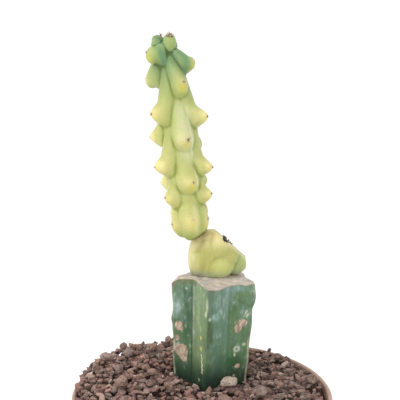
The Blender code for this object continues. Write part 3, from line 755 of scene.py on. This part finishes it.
def pressed_flat(points, spot, up, soft):
    """Points beyond a plane pushed back onto it, with a soft edge; also each point's depth under it."""
    beyond = (points - spot) @ up
    held = np.where(beyond < -soft, beyond, -soft * np.exp(-np.clip((beyond + soft) / soft, 0, 20)))
    return points + (held - beyond)[:, None] * up, -held


def creases(points, normals, edges, passes):
    """How deep each point lies in a fold: positive in creases, negative on ridges, in millimetres."""
    broad = relaxed(points, edges, passes, 1.0)
    return np.einsum("ij,ij->i", broad - points, normals) / MM


def rippled(mesh, points, normals, size, seed):
    """Moves the points to their last places, with the skin's slight unevenness."""
    move_points(mesh, points + normals * (0.10 * MM * wavy(points, size, seed))[:, None])


bm = bmesh.new()
for centre, size, lean in STUMP_LOBES:
    lump(bm, centre, size, lean)
body, edges, points = melted("stump_draft", bm, 0.3 * MM, 8)
points, scar_depth = pressed_flat(points, SCAR_SPOT, SCAR_UP, 0.35 * MM)
points, _ = pressed_flat(points, TIP_SPOT, TIP_UP, 0.3 * MM)
points, neck_depth = pressed_flat(points, NECK_SPOT, NECK_UP, 0.3 * MM)
seat = cut_height(points[:, 0], points[:, 1])
points[:, 2] = np.maximum(points[:, 2], seat - 0.15 * MM)
move_points(body, points)
normals = rows_of(body.vertices, "normal", 3)
fold = creases(points, normals, edges, 14)
x, y, z = (points / MM).T
lean_streaks = wavy(points, (1.6, 2.4, 9), 9.0)
neck_streak = hump(x + 2.1 - 0.717 * (z - 126.1), 0, 1.1) * (y < 9)
neck_streak = neck_streak * rise(z, 125.5, 126.5) * rise(z, 131.5, 130.5)
bulb = np.hypot((x - 7.2) / 4.8, (z - 120.2) / 5.3)  # 1 at the edge of the bulging front lobe
# painted shade: a dark line round the bulging front lobe, where a faint groove lies
groove_shade = hump(bulb, 1, 0.07) * (x < 7.6) * (y < 7) * (z > 118.5)
seat_gap = z - cut_height(points[:, 0], points[:, 1]) / MM
flesh = painted(
    colour(174, 171, 99),
    # painted light: the left side and the top lighter, towards the key lamp
    ((208, 202, 146), rise(-x, 0.2, 3.6)),
    ((220, 208, 150), 0.9 * rise(z, 126.5, 131.5)),
    ((186, 190, 112), 0.8 * hump(x, 6.2, 3.0) * hump(z, 122, 3.2)),
    ((162, 178, 112), 0.9 * rise(x + 0.35 * (126 - z), 11.6, 13.4)),
    # painted light: lighter and greyer low down, where the lobes turn under towards the cut
    ((164, 176, 150), 0.8 * rise(z, 121.0, 118.2)),
    # painted shade in the creases and painted highlight on the ridges
    ((112, 118, 54), 0.75 * rise(fold, 0.02, 0.20)),
    ((200, 196, 136), 0.3 * rise(-fold, 0.03, 0.16)),
    ((156, 154, 82), 0.3 * rise(lean_streaks, 0.1, 0.5)),
    ((146, 140, 74), 0.5 * neck_streak),
    # painted shade of the faint groove round the front lobe
    ((146, 148, 80), 0.45 * groove_shade),
    ((196, 200, 120), 0.4 * rise(bulb, 1.0, 0.4) * (y < 7)),
    ((214, 208, 172), 0.7 * rise(scar_depth / MM, 1.4, 0.2) * rise(x, 5.5, 7.5)),
    # painted shade where the stump sits on the cut and along the seam under the candle
    ((92, 84, 44), 0.8 * rise(seat_gap, 0.6, 0.0)),
    ((104, 88, 36), 0.9 * rise(neck_depth / MM, 1.3, 0.3)),
)
brush_on(body, "flesh", flesh)
brush_on(body, "scar", rise(scar_depth / MM, 0.34, 0.05))
rippled(body, points, normals, (1.3, 1.3, 5), 2.0)

skin = Finish(
    "young_flesh", Roughness=0.42, Specular_IOR_Level=0.35, Subsurface_Weight=0.2,
    Subsurface_Scale=1.0, Subsurface_Radius=(2.0 * MM, 1.8 * MM, 0.8 * MM),
)


def living_skin(finish, depth):
    """Fine cell mottling laid over the brushed colours, with pores and faint wrinkles."""
    cells = finish.mottle(0.7, 4.0, 0.6)
    tone = finish.tinted(
        finish.brushed("flesh", "Color"),
        finish.between(cells, 0.3, 0.7, 0.93, 1.05),
        finish.patches((0.9, 3.0, 0.6, (1, 1, 0.3)), 0.3, 0.7, 0.95, 1.04),
        finish.between(cells, 0.3, 0.7, 0.86, 1.12),
    )
    return tone, finish.bumped(finish.mottle(0.35, 4.0, 0.7), depth, 0.5)


tone, wrinkles = living_skin(skin, 0.04)
scab = skin.patches((0.7, 5.0, 0.7), 0.2, 0.8, -0.4, 0.4)
scab = skin.maths("ADD", skin.brushed("scar"), scab)
is_scab = skin.between(scab, 0.45, 0.7)
cracks = skin.mottle(1.6, 6.0, 0.75)
in_crack = skin.between(cracks, 0.485, 0.5, 0.0, 0.7)
in_crack = skin.maths("SUBTRACT", in_crack, skin.between(cracks, 0.5, 0.515, 0.0, 0.7))
scab_tone = skin.patches((0.5, 5.0, 0.7), 0.3, 0.7)
scab_colour = skin.mixed(scab_tone, (138, 122, 94), (204, 192, 158))
scab_colour = skin.mixed(in_crack, scab_colour, (96, 76, 52))
scab_rim = skin.maths("SUBTRACT", skin.between(scab, 0.32, 0.5), is_scab)
tone = skin.mixed(skin.maths("MULTIPLY", scab_rim, 0.5), tone, (150, 118, 72))
skin.coat(
    Base_Color=skin.mixed(is_scab, tone, scab_colour),
    Roughness=skin.between(is_scab, 0, 1, 0.42, 0.85),
    Normal=wrinkles,
)
scion_base = add_mesh_piece("scion_base_flesh", body, skin)
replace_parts(scion_base, "scion_base")

# ---------------------------------------------------------------- candle stem
# The tall knobbly shoot: six ribs of drop-shaped tubercles round a thin core, each swelling to a nose
# that carries an areole. Blue-green and waxy at the tip, yellow and translucent below.

AXIS_X, AXIS_Y, STEM_FOOT = -3.75, 6.0, 131.0  # where the stem's axis starts, mm
STEM_HEIGHT = 66
STEM_GIRTH = ((0, 5.4), (6, 6.4), (22, 6.6), (40, 5.9), (55, 4.8), (62, 3.6), (66, 2.4))
TUCK = 5.0  # each drop starts this far up under the one above, mm
# Each rib from the tip down: direction of the drop's middle at its nose and at its top, from the front
# towards +X in degrees; heights of the nose and the underside, reach and half width in mm; and how much
# of the swelling is a beak at the nose, or below zero how round its shoulder is
RIBS = (
    (
        (21, -2, 53.8, 47.4, 9.0, 3.0, -0.2), (8, 10, 34.6, 29.5, 9.9, 3.9, 0.2),
        (8, 5, 20.4, 15.0, 9.4, 4.1, 0.2), (4, 0, 7.5, -0.3, 7.5, 4.0, 0.0),
    ),
    (
        (64, 50, 61.0, 56.1, 8.9, 3.4, -0.3), (65, 58, 42.5, 37.8, 11.6, 3.8, 0.5),
        (66, 58, 25.4, 21.4, 11.2, 3.7, 0.45), (66, 58, 16.2, 11.8, 9.6, 3.7, 0.3),
        (64, 60, 7.4, 1.0, 7.3, 3.6, 0.0),
    ),
    (
        (134, 130, 49.5, 45.2, 7.2, 3.0, 0.3), (126, 122, 33.0, 29.0, 8.6, 3.6, 0.4),
        (124, 122, 20.4, 16.4, 9.0, 3.6, 0.3), (122, 122, 10.0, 3.0, 7.4, 3.6, 0.0),
    ),
    (
        (180, 176, 57.6, 53.0, 8.4, 3.2, 0.3), (180, 176, 40.0, 36.0, 10.2, 3.6, 0.4),
        (180, 176, 25.0, 21.0, 10.2, 3.7, 0.4), (178, 176, 14.0, 10.0, 8.8, 3.7, 0.2),
        (180, 176, 5.6, 0.0, 6.8, 3.7, 0.0),
    ),
    (
        (-112, -120, 55.6, 51.0, 10.8, 3.9, -0.3), (-112, -118, 35.3, 30.6, 12.9, 3.8, 0.3),
        (-112, -118, 19.4, 15.0, 10.3, 3.7, 0.3), (-114, -118, 8.8, 2.5, 7.2, 3.7, 0.0),
    ),
    (
        (-62, -54, 63.7, 58.8, 8.8, 3.4, -0.35), (-61, -54, 43.2, 37.8, 11.0, 3.9, 0.35),
        (-64, -60, 25.2, 21.0, 12.0, 4.2, 0.3), (-62, -62, 14.8, 10.2, 9.1, 4.0, 0.2),
        (-60, -62, 5.4, 0.6, 7.3, 3.8, 0.0),
    ),
)
RIB_TOPS = (64.4, 65.6, 66.0, 66.5, 67.0, 67.6)
OFF_MIDDLE = (2, 7, 10, 7)  # how far aside of their noses the areoles of the front rib sit, degrees
LONG_SPINED = (8, 34.6)  # the tubercles with long spines, and those whose areoles hardly show
FAINT = ((4, 7.5), (64, 61.0))
# The youngest tubercles, still round buds crowded at the tip, and the older ones that have filled out
# round: direction, height, how far out, and half width and half height, in degrees and mm
GROWING_TIP, TURNED_BUD = 9, -102
BUDS = (
    (GROWING_TIP, 66.9, 2.7, 2.3, 3.5), (TURNED_BUD, 68.6, 3.6, 2.2, 1.6),
    (152, 66.6, 2.4, 1.8, 2.4), (-160, 67.4, 2.6, 1.9, 2.4),
)
SWELLINGS = (
    (-62, 62.9, 6.5, 2.5, 3.0), (64, 60.2, 7.0, 1.8, 2.3), (-112, 55.3, 8.2, 2.5, 3.0),
    (-75, 66.7, 4.3, 1.9, 1.8),
)
# (height, reach) in mm: how far out a drop starts by its top's height, and how far the flesh comes out
ROOT_REACH = ((0, 5.2), (45, 5.0), (60, 4.4), (68, 3.0))
FULL_REACH = ((0, 7.2), (8, 8.0), (18, 9.6), (32, 10.6), (46, 10.6), (56, 10.2), (64, 8.2), (72, 5.0))


def stem_centre(up):
    """The stem's axis at heights above its foot, in mm; it leans and curves to -X."""
    up = np.asarray(up, float)
    along_x = AXIS_X - 0.075 * up - 0.00058 * up * up
    return np.stack([along_x, np.full_like(up, AXIS_Y), STEM_FOOT + up], axis=-1)


def outward(azimuth):
    """The level direction at an azimuth in degrees from the front (-Y) towards +X."""
    angle = np.radians(np.asarray(azimuth, float))
    return np.stack([np.sin(angle), -np.cos(angle), np.zeros_like(angle)], axis=-1)


def shaped_ball(bm, segments, rings, shape, *sizes):
    """A ball whose points are put where a shape's formula says, in mm."""
    ball = bmesh.ops.create_uvsphere(bm, u_segments=segments, v_segments=rings, radius=1)["verts"]
    for vert, point in zip(ball, shape(np.array([vert.co for vert in ball]), *sizes) * MM):
        vert.co = point


def tubercle(ball, azimuth, top_azimuth, nose, top, low, reach, half_width, beak):
    """A drop: narrow where it leaves its neighbour above, swelling to the nose, tucked in below."""
    down = (1 - ball[:, 2]) / 2
    ring = np.hypot(ball[:, 0], ball[:, 1]) ** 0.55
    angle = np.arctan2(ball[:, 1], ball[:, 0])
    nose_share = (top - nose) / (top - low)
    along = down / nose_share
    power, beak = 1.5 + 2 * min(0, beak), max(0, beak)  # a low power swells soon, to a round shoulder
    body = (1 - beak) * np.minimum(along, 1) ** power + beak * rise(along, 0.76, 0.98)
    past = np.clip((down - nose_share) / (1 - nose_share), 0, 1)
    swell = np.where(along < 1, body, np.cos(past * math.pi / 2) ** 0.7)
    inner, root = 1.5, min(np.interp(top, *zip(*ROOT_REACH)), 0.7 * reach)
    edge = root + (reach - root) * swell
    width = half_width * (0.72 + 0.28 * np.minimum(1, along) ** 0.8)
    out = outward(azimuth + (top_azimuth - azimuth) * (1 - np.minimum(1, along)))
    aside = np.stack([-out[:, 1], out[:, 0], np.zeros_like(down)], axis=1)
    middle, half_depth = (edge + inner) / 2, (edge - inner) / 2
    place = stem_centre(top - (top - low) * down)
    place = place + out * (middle + half_depth * ring * np.cos(angle))[:, None]
    return place + aside * (width * ring * np.sin(angle) * (1 - 0.2 * np.cos(angle)))[:, None]


def stem_core(ball):
    """The thin round stem under the drops."""
    share = (ball[:, 2] + 1) / 2
    girth = np.interp(share * STEM_HEIGHT, *zip(*STEM_GIRTH)) * np.hypot(ball[:, 0], ball[:, 1]) ** 0.45
    angle = np.arctan2(ball[:, 1], ball[:, 0])
    out = np.stack([np.cos(angle), np.sin(angle), np.zeros_like(share)], axis=1)
    return stem_centre(STEM_HEIGHT * share) + girth[:, None] * out


bm = bmesh.new()
shaped_ball(bm, 48, 64, stem_core)
areoles = []  # (what kind, a point inside the flesh, the way out to the skin, how far, the direction)
for rib, top in zip(RIBS, RIB_TOPS):
    for row, (azimuth, top_azimuth, nose, low, reach, half_width, beak) in enumerate(rib):
        sizes = azimuth, top_azimuth, nose, top, low, reach, half_width, beak
        shaped_ball(bm, 32, 40, tubercle, *sizes)
        kind = "faint" if (azimuth, nose) in FAINT else "plain"
        kind = "long" if (azimuth, nose) == LONG_SPINED else kind
        aside = OFF_MIDDLE[row] if rib is RIBS[0] else 0
        areoles.append((kind, stem_centre(nose), outward(azimuth + aside), reach, azimuth))
        top = low + TUCK
for azimuth, height, out, half_width, half_height in BUDS + SWELLINGS:
    middle = stem_centre(height) + outward(azimuth) * out
    lump(bm, middle, (half_width, half_width, half_height))
for azimuth, height, out, _, half_height in BUDS:
    way = 0.5 * outward(azimuth) + np.array((0, 0, 0.87))
    if azimuth == TURNED_BUD:
        way = np.array((0.55, -0.5, 0.65))
    areoles.append(("bud", stem_centre(height) + outward(azimuth) * out, way, half_height, azimuth))
body, edges, points = melted("candle_draft", bm, 0.36 * MM, 4)
neck_seat = NECK_SPOT + 0.05 * MM * NECK_UP
points, _ = pressed_flat(points, neck_seat, -NECK_UP, 0.3 * MM)
move_points(body, points)
normals = rows_of(body.vertices, "normal", 3)
fold = creases(points, normals, edges, 10)
wide_fold = relaxed(creases(points, normals, edges, 60), edges, 6)
neck_gap = (points - NECK_SPOT) @ NECK_UP / MM

x, y, z = (points / MM).T
up = z - STEM_FOOT
centre = stem_centre(up)
proud = np.hypot(x - centre[:, 0], y - AXIS_Y) / np.interp(up, *zip(*FULL_REACH))
young = rise(up, 44, 68)
facing = np.degrees(np.arctan2(x - centre[:, 0], AXIS_Y - y))


def by_age(lower, upper):
    """A tint that changes from the old flesh below to the young flesh at the tip."""
    return colour(*lower) + (colour(*upper) - colour(*lower)) * young[:, None]


def away_from(spot):
    """The distance of each point of the skin from a spot, in mm."""
    return np.sqrt((x - spot[0]) ** 2 + (y - spot[1]) ** 2 + (z - spot[2]) ** 2)


# painted highlight: a pale line down the right shoulder of the front tubercles
highlight_edge = hump(facing, 30, 3) * rise(up, 27, 31) * rise(up, 47, 42)
highlight_edge += hump(facing, 31, 3) * rise(up, 15, 18) * rise(up, 26, 22)
# partly the teal of the young flesh, partly painted shade on flanks near the tip turned from the lamp
teal_shade = hump(facing, -29, 6) * rise(up, 56, 60)
teal_shade += hump(facing, 44, 11) * rise(up, 55, 58) * rise(up, 65, 62.5)
flesh = painted(
    by_age((192, 190, 120), (134, 158, 98)),
    (by_age((168, 176, 104), (90, 130, 92)), rise(proud, 0.85, 0.5)),
    # painted highlight on the parts of the tubercles that stand out furthest
    (by_age((222, 210, 140), (166, 175, 104)), rise(proud, 0.82, 1.0)),
    # painted shade in the creases and painted highlight on the broad ridges
    (by_age((138, 148, 62), (60, 92, 46)), rise(fold, 0.012, 0.12)),
    (by_age((222, 216, 168), (160, 180, 134)), 0.3 * rise(-wide_fold, 0.2, 1.2)),
    ((238, 236, 206), 0.45 * highlight_edge),
    ((88, 136, 100), 0.75 * teal_shade),
)
for (azimuth, height, out, _, half_height), tint in zip(BUDS, ((160, 176, 104), (84, 124, 96))):
    away = away_from(stem_centre(height) + outward(azimuth) * out) / (half_height + 0.5)
    flesh = painted(flesh, (tint, 0.75 * np.exp(-(away**6)) * rise(fold, 0.06, 0.0)))
low_stretch = rise(up, 1, 5) * rise(up, 14, 10)
flesh = painted(
    flesh,
    ((150, 165, 86), 0.9 * rise(up, 6, -1)),
    # painted highlight low on the front, just right of the middle
    ((222, 226, 180), 0.35 * hump(facing, 20, 7) * low_stretch),
    ((146, 172, 92), 0.5 * hump(facing, 43, 8) * low_stretch),
    ((214, 214, 176), 0.5 * hump(facing, 14, 22) * rise(up, 24, 30) * rise(up, 50, 44)),
    # painted light: the lower left side lighter, towards the key lamp
    ((236, 228, 158), 0.5 * rise(facing, -50, -90) * rise(up, 32, 22)),
)
for kind, spot, way, reach, azimuth in areoles:
    glow = 0.85 if abs(azimuth) < 30 or azimuth < -50 else 0.5
    glow = 0.0 if kind == "bud" else 0.35 if spot[2] < 142 else glow
    below = spot + way * (reach - 0.6) - np.array((0, 0, 2.1))
    away = np.sqrt((x - below[0]) ** 2 + (y - below[1]) ** 2 + ((z - below[2]) * 0.9) ** 2)
    round_areole = hump(away_from(spot + way * reach + np.array((0, 0, 0.2))), 0, 0.9)
    flesh = painted(
        flesh,
        (by_age((208, 198, 78), (184, 186, 78)), glow * hump(away, 0, 1.7)),
        ((206, 178, 138), 0.7 * round_areole),
    )
# painted shade along the seam where the candle sits on the stump
flesh = painted(flesh, ((110, 90, 40), 0.85 * rise(np.abs(neck_gap), 0.9, 0.2)))
brush_on(body, "flesh", flesh)
rippled(body, points, normals, 3.2, 4.0)

skin = Finish(
    "waxy_candle_skin", Roughness=0.40, Specular_IOR_Level=0.35, Subsurface_Weight=0.25,
    Subsurface_Scale=1.0, Subsurface_Radius=(2.4 * MM, 2.2 * MM, 0.9 * MM),
)
tone, wrinkles = living_skin(skin, 0.03)
skin.coat(Base_Color=tone, Normal=wrinkles)
candle = add_mesh_piece("candle_shoot", body, skin)
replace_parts(candle, "candle_stem")

# ---------------------------------------------------------------- areoles
# A small brown felt pad on each tubercle's nose with a few short spines, old and dark at the base and
# pale at the tip. They grow out of the skin.

wool = Finish("areole_wool", Roughness=0.9, Specular_IOR_Level=0.2)
felt = wool.patches((0.25, 4.0, 0.7), 0.3, 0.7)
felt_colour = wool.mixed(felt, (96, 72, 56), (186, 156, 130))
wool.coat(
    Base_Color=wool.mixed(wool.brushed("pale"), felt_colour, (226, 214, 190)),
    Normal=wool.bumped(felt, 0.1),
)


def areole(bm, root, normal, size, spines, long, rng):
    """A felt pad flattened onto the skin and a few spines that spread from it, some with pale tips."""
    pale_layer = bm.verts.layers.float.get("pale") or bm.verts.layers.float.new("pale")
    made = bmesh.ops.create_icosphere(bm, subdivisions=3, radius=size)
    turn = normal.to_track_quat("Z", "X").to_matrix().to_4x4()
    for vert in made["verts"]:
        vert.co *= 1 + 0.30 * noise.noise(vert.co / (0.35 * MM) + root / MM)
        vert.co.z *= 0.5
        vert[pale_layer] = 0.0
    bmesh.ops.transform(bm, matrix=Matrix.Translation(root) @ turn, verts=made["verts"])
    thick = 0.13 * MM if long > 1 * MM else 0.09 * MM
    for spine in range(spines):
        spread = math.tau * (spine + rng.random() * 0.5) / spines
        tilt = rng.uniform(0.6, 1.6)
        way = Vector((math.cos(spread) * tilt, math.sin(spread) * tilt, 1)).normalized()
        way.rotate(turn.to_3x3())
        length = long * rng.uniform(0.6, 1.2)
        made = bmesh.ops.create_cone(
            bm, cap_ends=True, segments=6, radius1=thick, radius2=thick * 0.15, depth=length
        )
        upright = way.to_track_quat("Z", "X").to_matrix().to_4x4()
        shape = Matrix.Translation(root + way * length * 0.45) @ upright
        bmesh.ops.transform(bm, matrix=shape, verts=made["verts"])
        pale = rng.choice((0.0, 0.6, 1.0))
        for vert in made["verts"]:
            vert[pale_layer] = pale


skin_tree = BVHTree.FromObject(candle, bpy.context.evaluated_depsgraph_get())
rng = random.Random(5)
nodes_left = [f"areole_{index + 1:02d}" for index in range(14)]
SPINES = {"long": (2.1, 9), "bud": (1.3, 7), "faint": (0.6, 1)}  # length in mm and number
unseen = bmesh.new()
for kind, spot, way, reach, azimuth in areoles:
    out = Vector(way).normalized()
    root, normal, _, _ = skin_tree.ray_cast(Vector(spot * MM) + out * (reach + 10) * MM, -out)
    in_sight = nodes_left and abs(azimuth) < 100
    bm = bmesh.new() if in_sight else unseen
    long, count = SPINES.get(kind) or (0.9 if azimuth < -50 else 0.6, rng.randint(3, 6))
    size = 0.16 if kind == "faint" else rng.uniform(0.30, 0.42)
    areole(bm, root, normal, size * MM, count, long * MM, rng)
    if azimuth == GROWING_TIP:  # crowded with new spines
        for aside in (-1.5, -0.8, 0.0, 0.8, 1.5):
            near = root + Vector((aside, -1.4 + 0.3 * abs(aside), -0.4)) * MM
            near, _, _, _ = skin_tree.find_nearest(near)
            areole(bm, near, Vector((0.2 * aside, -0.3, 1)).normalized(), 0.22 * MM, 4, 1.5 * MM, rng)
    if in_sight:
        node = nodes_left.pop(0)
        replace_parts(add_piece(f"{node}_tuft", bm, wool), node)
add_piece("areoles_behind", unseen, wool)

charred = Finish("dead_tuft", Roughness=0.8, Specular_IOR_Level=0.3)
charcoal = charred.patches((0.3, 4.0, 0.7), 0.3, 0.7)
charred.coat(Base_Color=charred.mixed(charcoal, (26, 22, 26), (92, 82, 80)))
bm = bmesh.new()
stump_tree = BVHTree.FromObject(scion_base, bpy.context.evaluated_depsgraph_get())
TUFT_STUBS = 17
LOOK_UP = 0.18  # the scar's edge is sought along a line that falls by this much
# A dense knot near the scar's upper end, then a few stubs along its edge
for stub in range(TUFT_STUBS):
    share = stub / (TUFT_STUBS - 1)
    knot = share < 0.7
    x = 7.3 + 1.3 * rng.random() if knot else 8.8 + 5 * (share - 0.7)
    z = 132.0 - 0.9 * (x - 7.6) - (1.5 * rng.random() if knot else 0.5)
    start = Vector((x, -30, z + LOOK_UP * 35)) * MM
    root, normal, _, _ = stump_tree.ray_cast(start, Vector((0, 1, -LOOK_UP)).normalized())
    if root is not None:
        areole(bm, root, normal, (0.36 if knot else 0.22) * MM, 5 if knot else 2, 1.1 * MM, rng)
add_piece("dead_tuft", bm, charred)

# ---------------------------------------------------------------- larger stones
# Twenty lava stones lie loose on top of the gravel: rough and full of pores, mostly brown, the two by
# the rootstock paler.

lava = Finish("lava_stone", Roughness=0.95, Specular_IOR_Level=0.2)
spots = lava.wire("TexCoord", {}).outputs["Object"]
pits = lava.wire("TexVoronoi", {"Vector": spots, "Scale": 1 / (0.9 * MM), "Randomness": 1.0})
pits = pits.outputs["Distance"]
crumbs = lava.mottle(0.6, 6.0, 0.7)
pit_shade = lava.patches((1.1, 4.0, 0.7), 0.44, 0.6)
pit_shade = lava.maths("MULTIPLY", lava.between(pits, 0.1, 0.42, 0.55, 0.0), pit_shade)
height = lava.maths("ADD", lava.between(pits, 0.05, 0.5, 0.0, 0.6), crumbs)
lava.coat(
    Base_Color=lava.layered(
        lava.brushed("tone", "Color"),
        (lava.patches((1.6, 5.0, 0.7), 0.35, 0.7, 0.0, 0.45), (196, 172, 158)),  # dust
        (lava.between(crumbs, 0.34, 0.52, 0.55, 0.0), (58, 42, 36)),
        # painted shade in the pits and hollows
        (pit_shade, (66, 48, 42)),
    ),
    Normal=lava.bumped(height, 0.45, 0.9),
)

PALE_STONES = ((190, 176, 160), (168, 144, 134))
BROWN_STONES = ((150, 124, 112), (134, 112, 104), (158, 128, 114), (140, 120, 116), (126, 102, 92))
stones = []  # (x, y, width, height of its foot) of each, for the grains round it
for index in range(20):
    node = f"lava_stone_{index + 1:02d}"
    low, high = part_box(node)
    middle, span = (low + high) / 2, high - low
    bm = bmesh.new()
    verts = bmesh.ops.create_icosphere(bm, subdivisions=4, radius=0.5)["verts"]
    seed = 11 + index
    for vert in verts:
        at = vert.co * 2.2 + Vector((seed, 0, seed * 3))
        vert.co *= 1 + 0.35 * noise.noise(at) + 0.10 * noise.fractal(at * 3.1, 0.9, 2.1, 3)
    box_low = Vector([min(vert.co[axis] for vert in verts) for axis in range(3)])
    box_high = Vector([max(vert.co[axis] for vert in verts) for axis in range(3)])
    fit = Matrix.Diagonal((*[span[axis] / (box_high[axis] - box_low[axis]) for axis in range(3)], 1))
    bmesh.ops.translate(bm, verts=verts, vec=-(box_low + box_high) / 2)
    bmesh.ops.transform(bm, matrix=Matrix.Translation(middle) @ fit, verts=verts)
    piece = add_piece(f"{node}_rough", bm, lava)
    tint = PALE_STONES[index] if index < len(PALE_STONES) else BROWN_STONES[index % len(BROWN_STONES)]
    brush_on(piece.data, "tone", np.tile(colour(*tint), (len(piece.data.vertices), 1)))
    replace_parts(piece, node)
    stones.append((middle.x, middle.y, max(span.x, span.y), low.z))

# ---------------------------------------------------------------- loose gravel
# Washed lava gravel, two to five millimetres, poured loose to just over the rim: reddish and pinkish
# brown to grey and nearly black. Each grain is a broken angular lump, with painted light on its top and
# painted shade below.

BANK_WIDTH = 4 * MM  # round each larger stone, and how steeply it falls
BANK_SLOPE = 0.55
STREWN_REACH = 31 * MM  # the large grains on top keep this near the middle
HANDFUL = 40
# painted shade, away from the key lamp on the left
RIGHT_SHADE = 8  # how much darker the grains are, per metre to the right of the middle
rng = random.Random(23)


def grain_shape(seed, corners, wear):
    """One broken grain about 1 across: a hull round scattered corners, with its edges worn."""
    chance = random.Random(seed)
    bm = bmesh.new()
    for _ in range(corners):
        way = Vector((chance.gauss(0, 1), chance.gauss(0, 1), chance.gauss(0, 1))).normalized()
        bm.verts.new(way * chance.uniform(0.40, 0.60))
    hull = bmesh.ops.convex_hull(bm, input=bm.verts)
    inside = [part for part in hull["geom_interior"] if isinstance(part, bmesh.types.BMVert)]
    bmesh.ops.delete(bm, geom=inside, context="VERTS")
    if wear:
        bmesh.ops.bevel(
            bm, geom=bm.edges, affect="EDGES", offset=wear, segments=1, profile=0.5, material=-1,
            clamp_overlap=True,
        )
    return mesh_from(f"grain_shape_{seed}", bm)


ROW_STEP = 0.866  # rows of grains in a honeycomb lie this share of a spacing apart


def scattered(spacing, shake, keep_clear):
    """Loose places over the bed, about a spacing apart, clear of the pot and the rootstock."""
    places = []
    rows = int(RIM / (spacing * ROW_STEP)) + 1
    for row in range(-rows, rows + 1):
        for column in range(-rows - 2, rows + 3):
            size = spacing * (0.80 + 0.95 * rng.random() ** 1.8)
            x = (column + 0.5 * (row % 2) + rng.uniform(-shake, shake)) * spacing
            y = (row * ROW_STEP + rng.uniform(-shake, shake)) * spacing
            over_rim = bed_height(x, y) - size * 0.6 > POT_TOP
            margin = 0.9 * MM + size * 0.25 if over_rim else 2.3 * MM + size * 0.5
            off_x, off_y = x - STOCK_X + 1.0 * MM, y - STOCK_Y
            turn = np.degrees(np.arctan2(off_y, off_x)) % 360
            stock = float(stock_radius(np.array([turn]), np.array([SOIL_Z]))[0])
            if math.hypot(x, y) > RIM - margin or math.hypot(off_x, off_y) < stock + size * 0.36:
                continue
            clear = [math.hypot(x - a, y - b) >= (size * 0.6 + c * 0.85) / 2 for a, b, c, _ in stones]
            if all(clear) or not keep_clear:
                places.append((x, y, size))
    return places


GRAIN_TONES = (
    (144, 110, 100), (128, 94, 86), (154, 120, 110), (114, 85, 80), (138, 116, 110), (99, 75, 71),
    (160, 134, 122), (152, 112, 104), (118, 102, 92), (182, 162, 152), (84, 66, 62), (146, 124, 118),
)


def joined(meshes):
    """One mesh from many, which are used up."""
    bm = bmesh.new()
    for mesh in meshes:
        bm.from_mesh(mesh)
        bpy.data.meshes.remove(mesh)
    return mesh_from("grains", bm)


def pour(name, places, shapes, sink, painted_light):
    """All the grains of one layer as one piece, joined in handfuls to save time."""
    handfuls, grains, shaded_tones = [], [], []
    for x, y, size in places:
        shape = rng.choice(shapes).copy()
        flat = Matrix.Diagonal((1.22, rng.uniform(0.6, 0.92), rng.uniform(0.48, 0.78), 1))
        turn = Euler((rng.uniform(-0.5, 0.5), rng.uniform(-0.5, 0.5), rng.uniform(0, math.tau)))
        level = bed_height(x, y) - sink * MM - size * 0.30 + rng.uniform(-0.5, 0.4) * MM
        # The grains under a larger stone carry it, and those round its foot are banked up to it
        for a, b, width, foot in stones:
            away = math.hypot(x - a, y - b) - width * 0.5
            under = foot - size * 0.24
            if away < 0:
                level = under
            elif away < BANK_WIDTH:
                level = max(level, under - BANK_SLOPE * away)
        shape.transform(turn.to_matrix().to_4x4() @ Matrix.Scale(size, 4) @ flat)
        up = points_of(shape)[:, 2] / size
        base = colour(*rng.choice(GRAIN_TONES)) * rng.uniform(0.65, 1.4)
        # painted shade: a layer darker by its painted light, and the grains darker towards the right
        base *= painted_light * (1 - RIGHT_SHADE * max(0, x))
        # painted light on each grain's top and painted shade under it
        shaded_tones.append(base * (0.36 + 0.94 * rise(up, -0.38, 0.34))[:, None])
        shape.transform(Matrix.Translation((x, y, level)))
        grains.append(shape)
        if len(grains) == HANDFUL:
            handfuls.append(joined(grains))
            grains = []
    pile = joined(handfuls + grains)
    add_mesh_piece(name, pile, lava)
    pile.shade_flat()
    brush_on(pile, "tone", np.concatenate(shaded_tones))


def grain_shapes(first, count, corners, wear):
    return [grain_shape(first + step, corners, wear) for step in range(count)]


# the lower layer gets less painted light, as shade under the upper grains
pour("gravel_lower", scattered(2.8 * MM, 0.30, False), grain_shapes(0, 8, 12, 0), 1.3, 0.85)
pour("gravel_upper", scattered(2.75 * MM, 0.36, True), grain_shapes(20, 14, 12, 0.05), 0.1, 1.0)
strewn = [place for place in scattered(6.5 * MM, 0.45, True) if math.hypot(*place[:2]) < STREWN_REACH]
strewn = [(x, y, rng.uniform(3.0, 4.6) * MM) for x, y, _ in strewn]
pour("gravel_strewn", strewn, grain_shapes(40, 8, 13, 0.05), -0.35, 1.05)
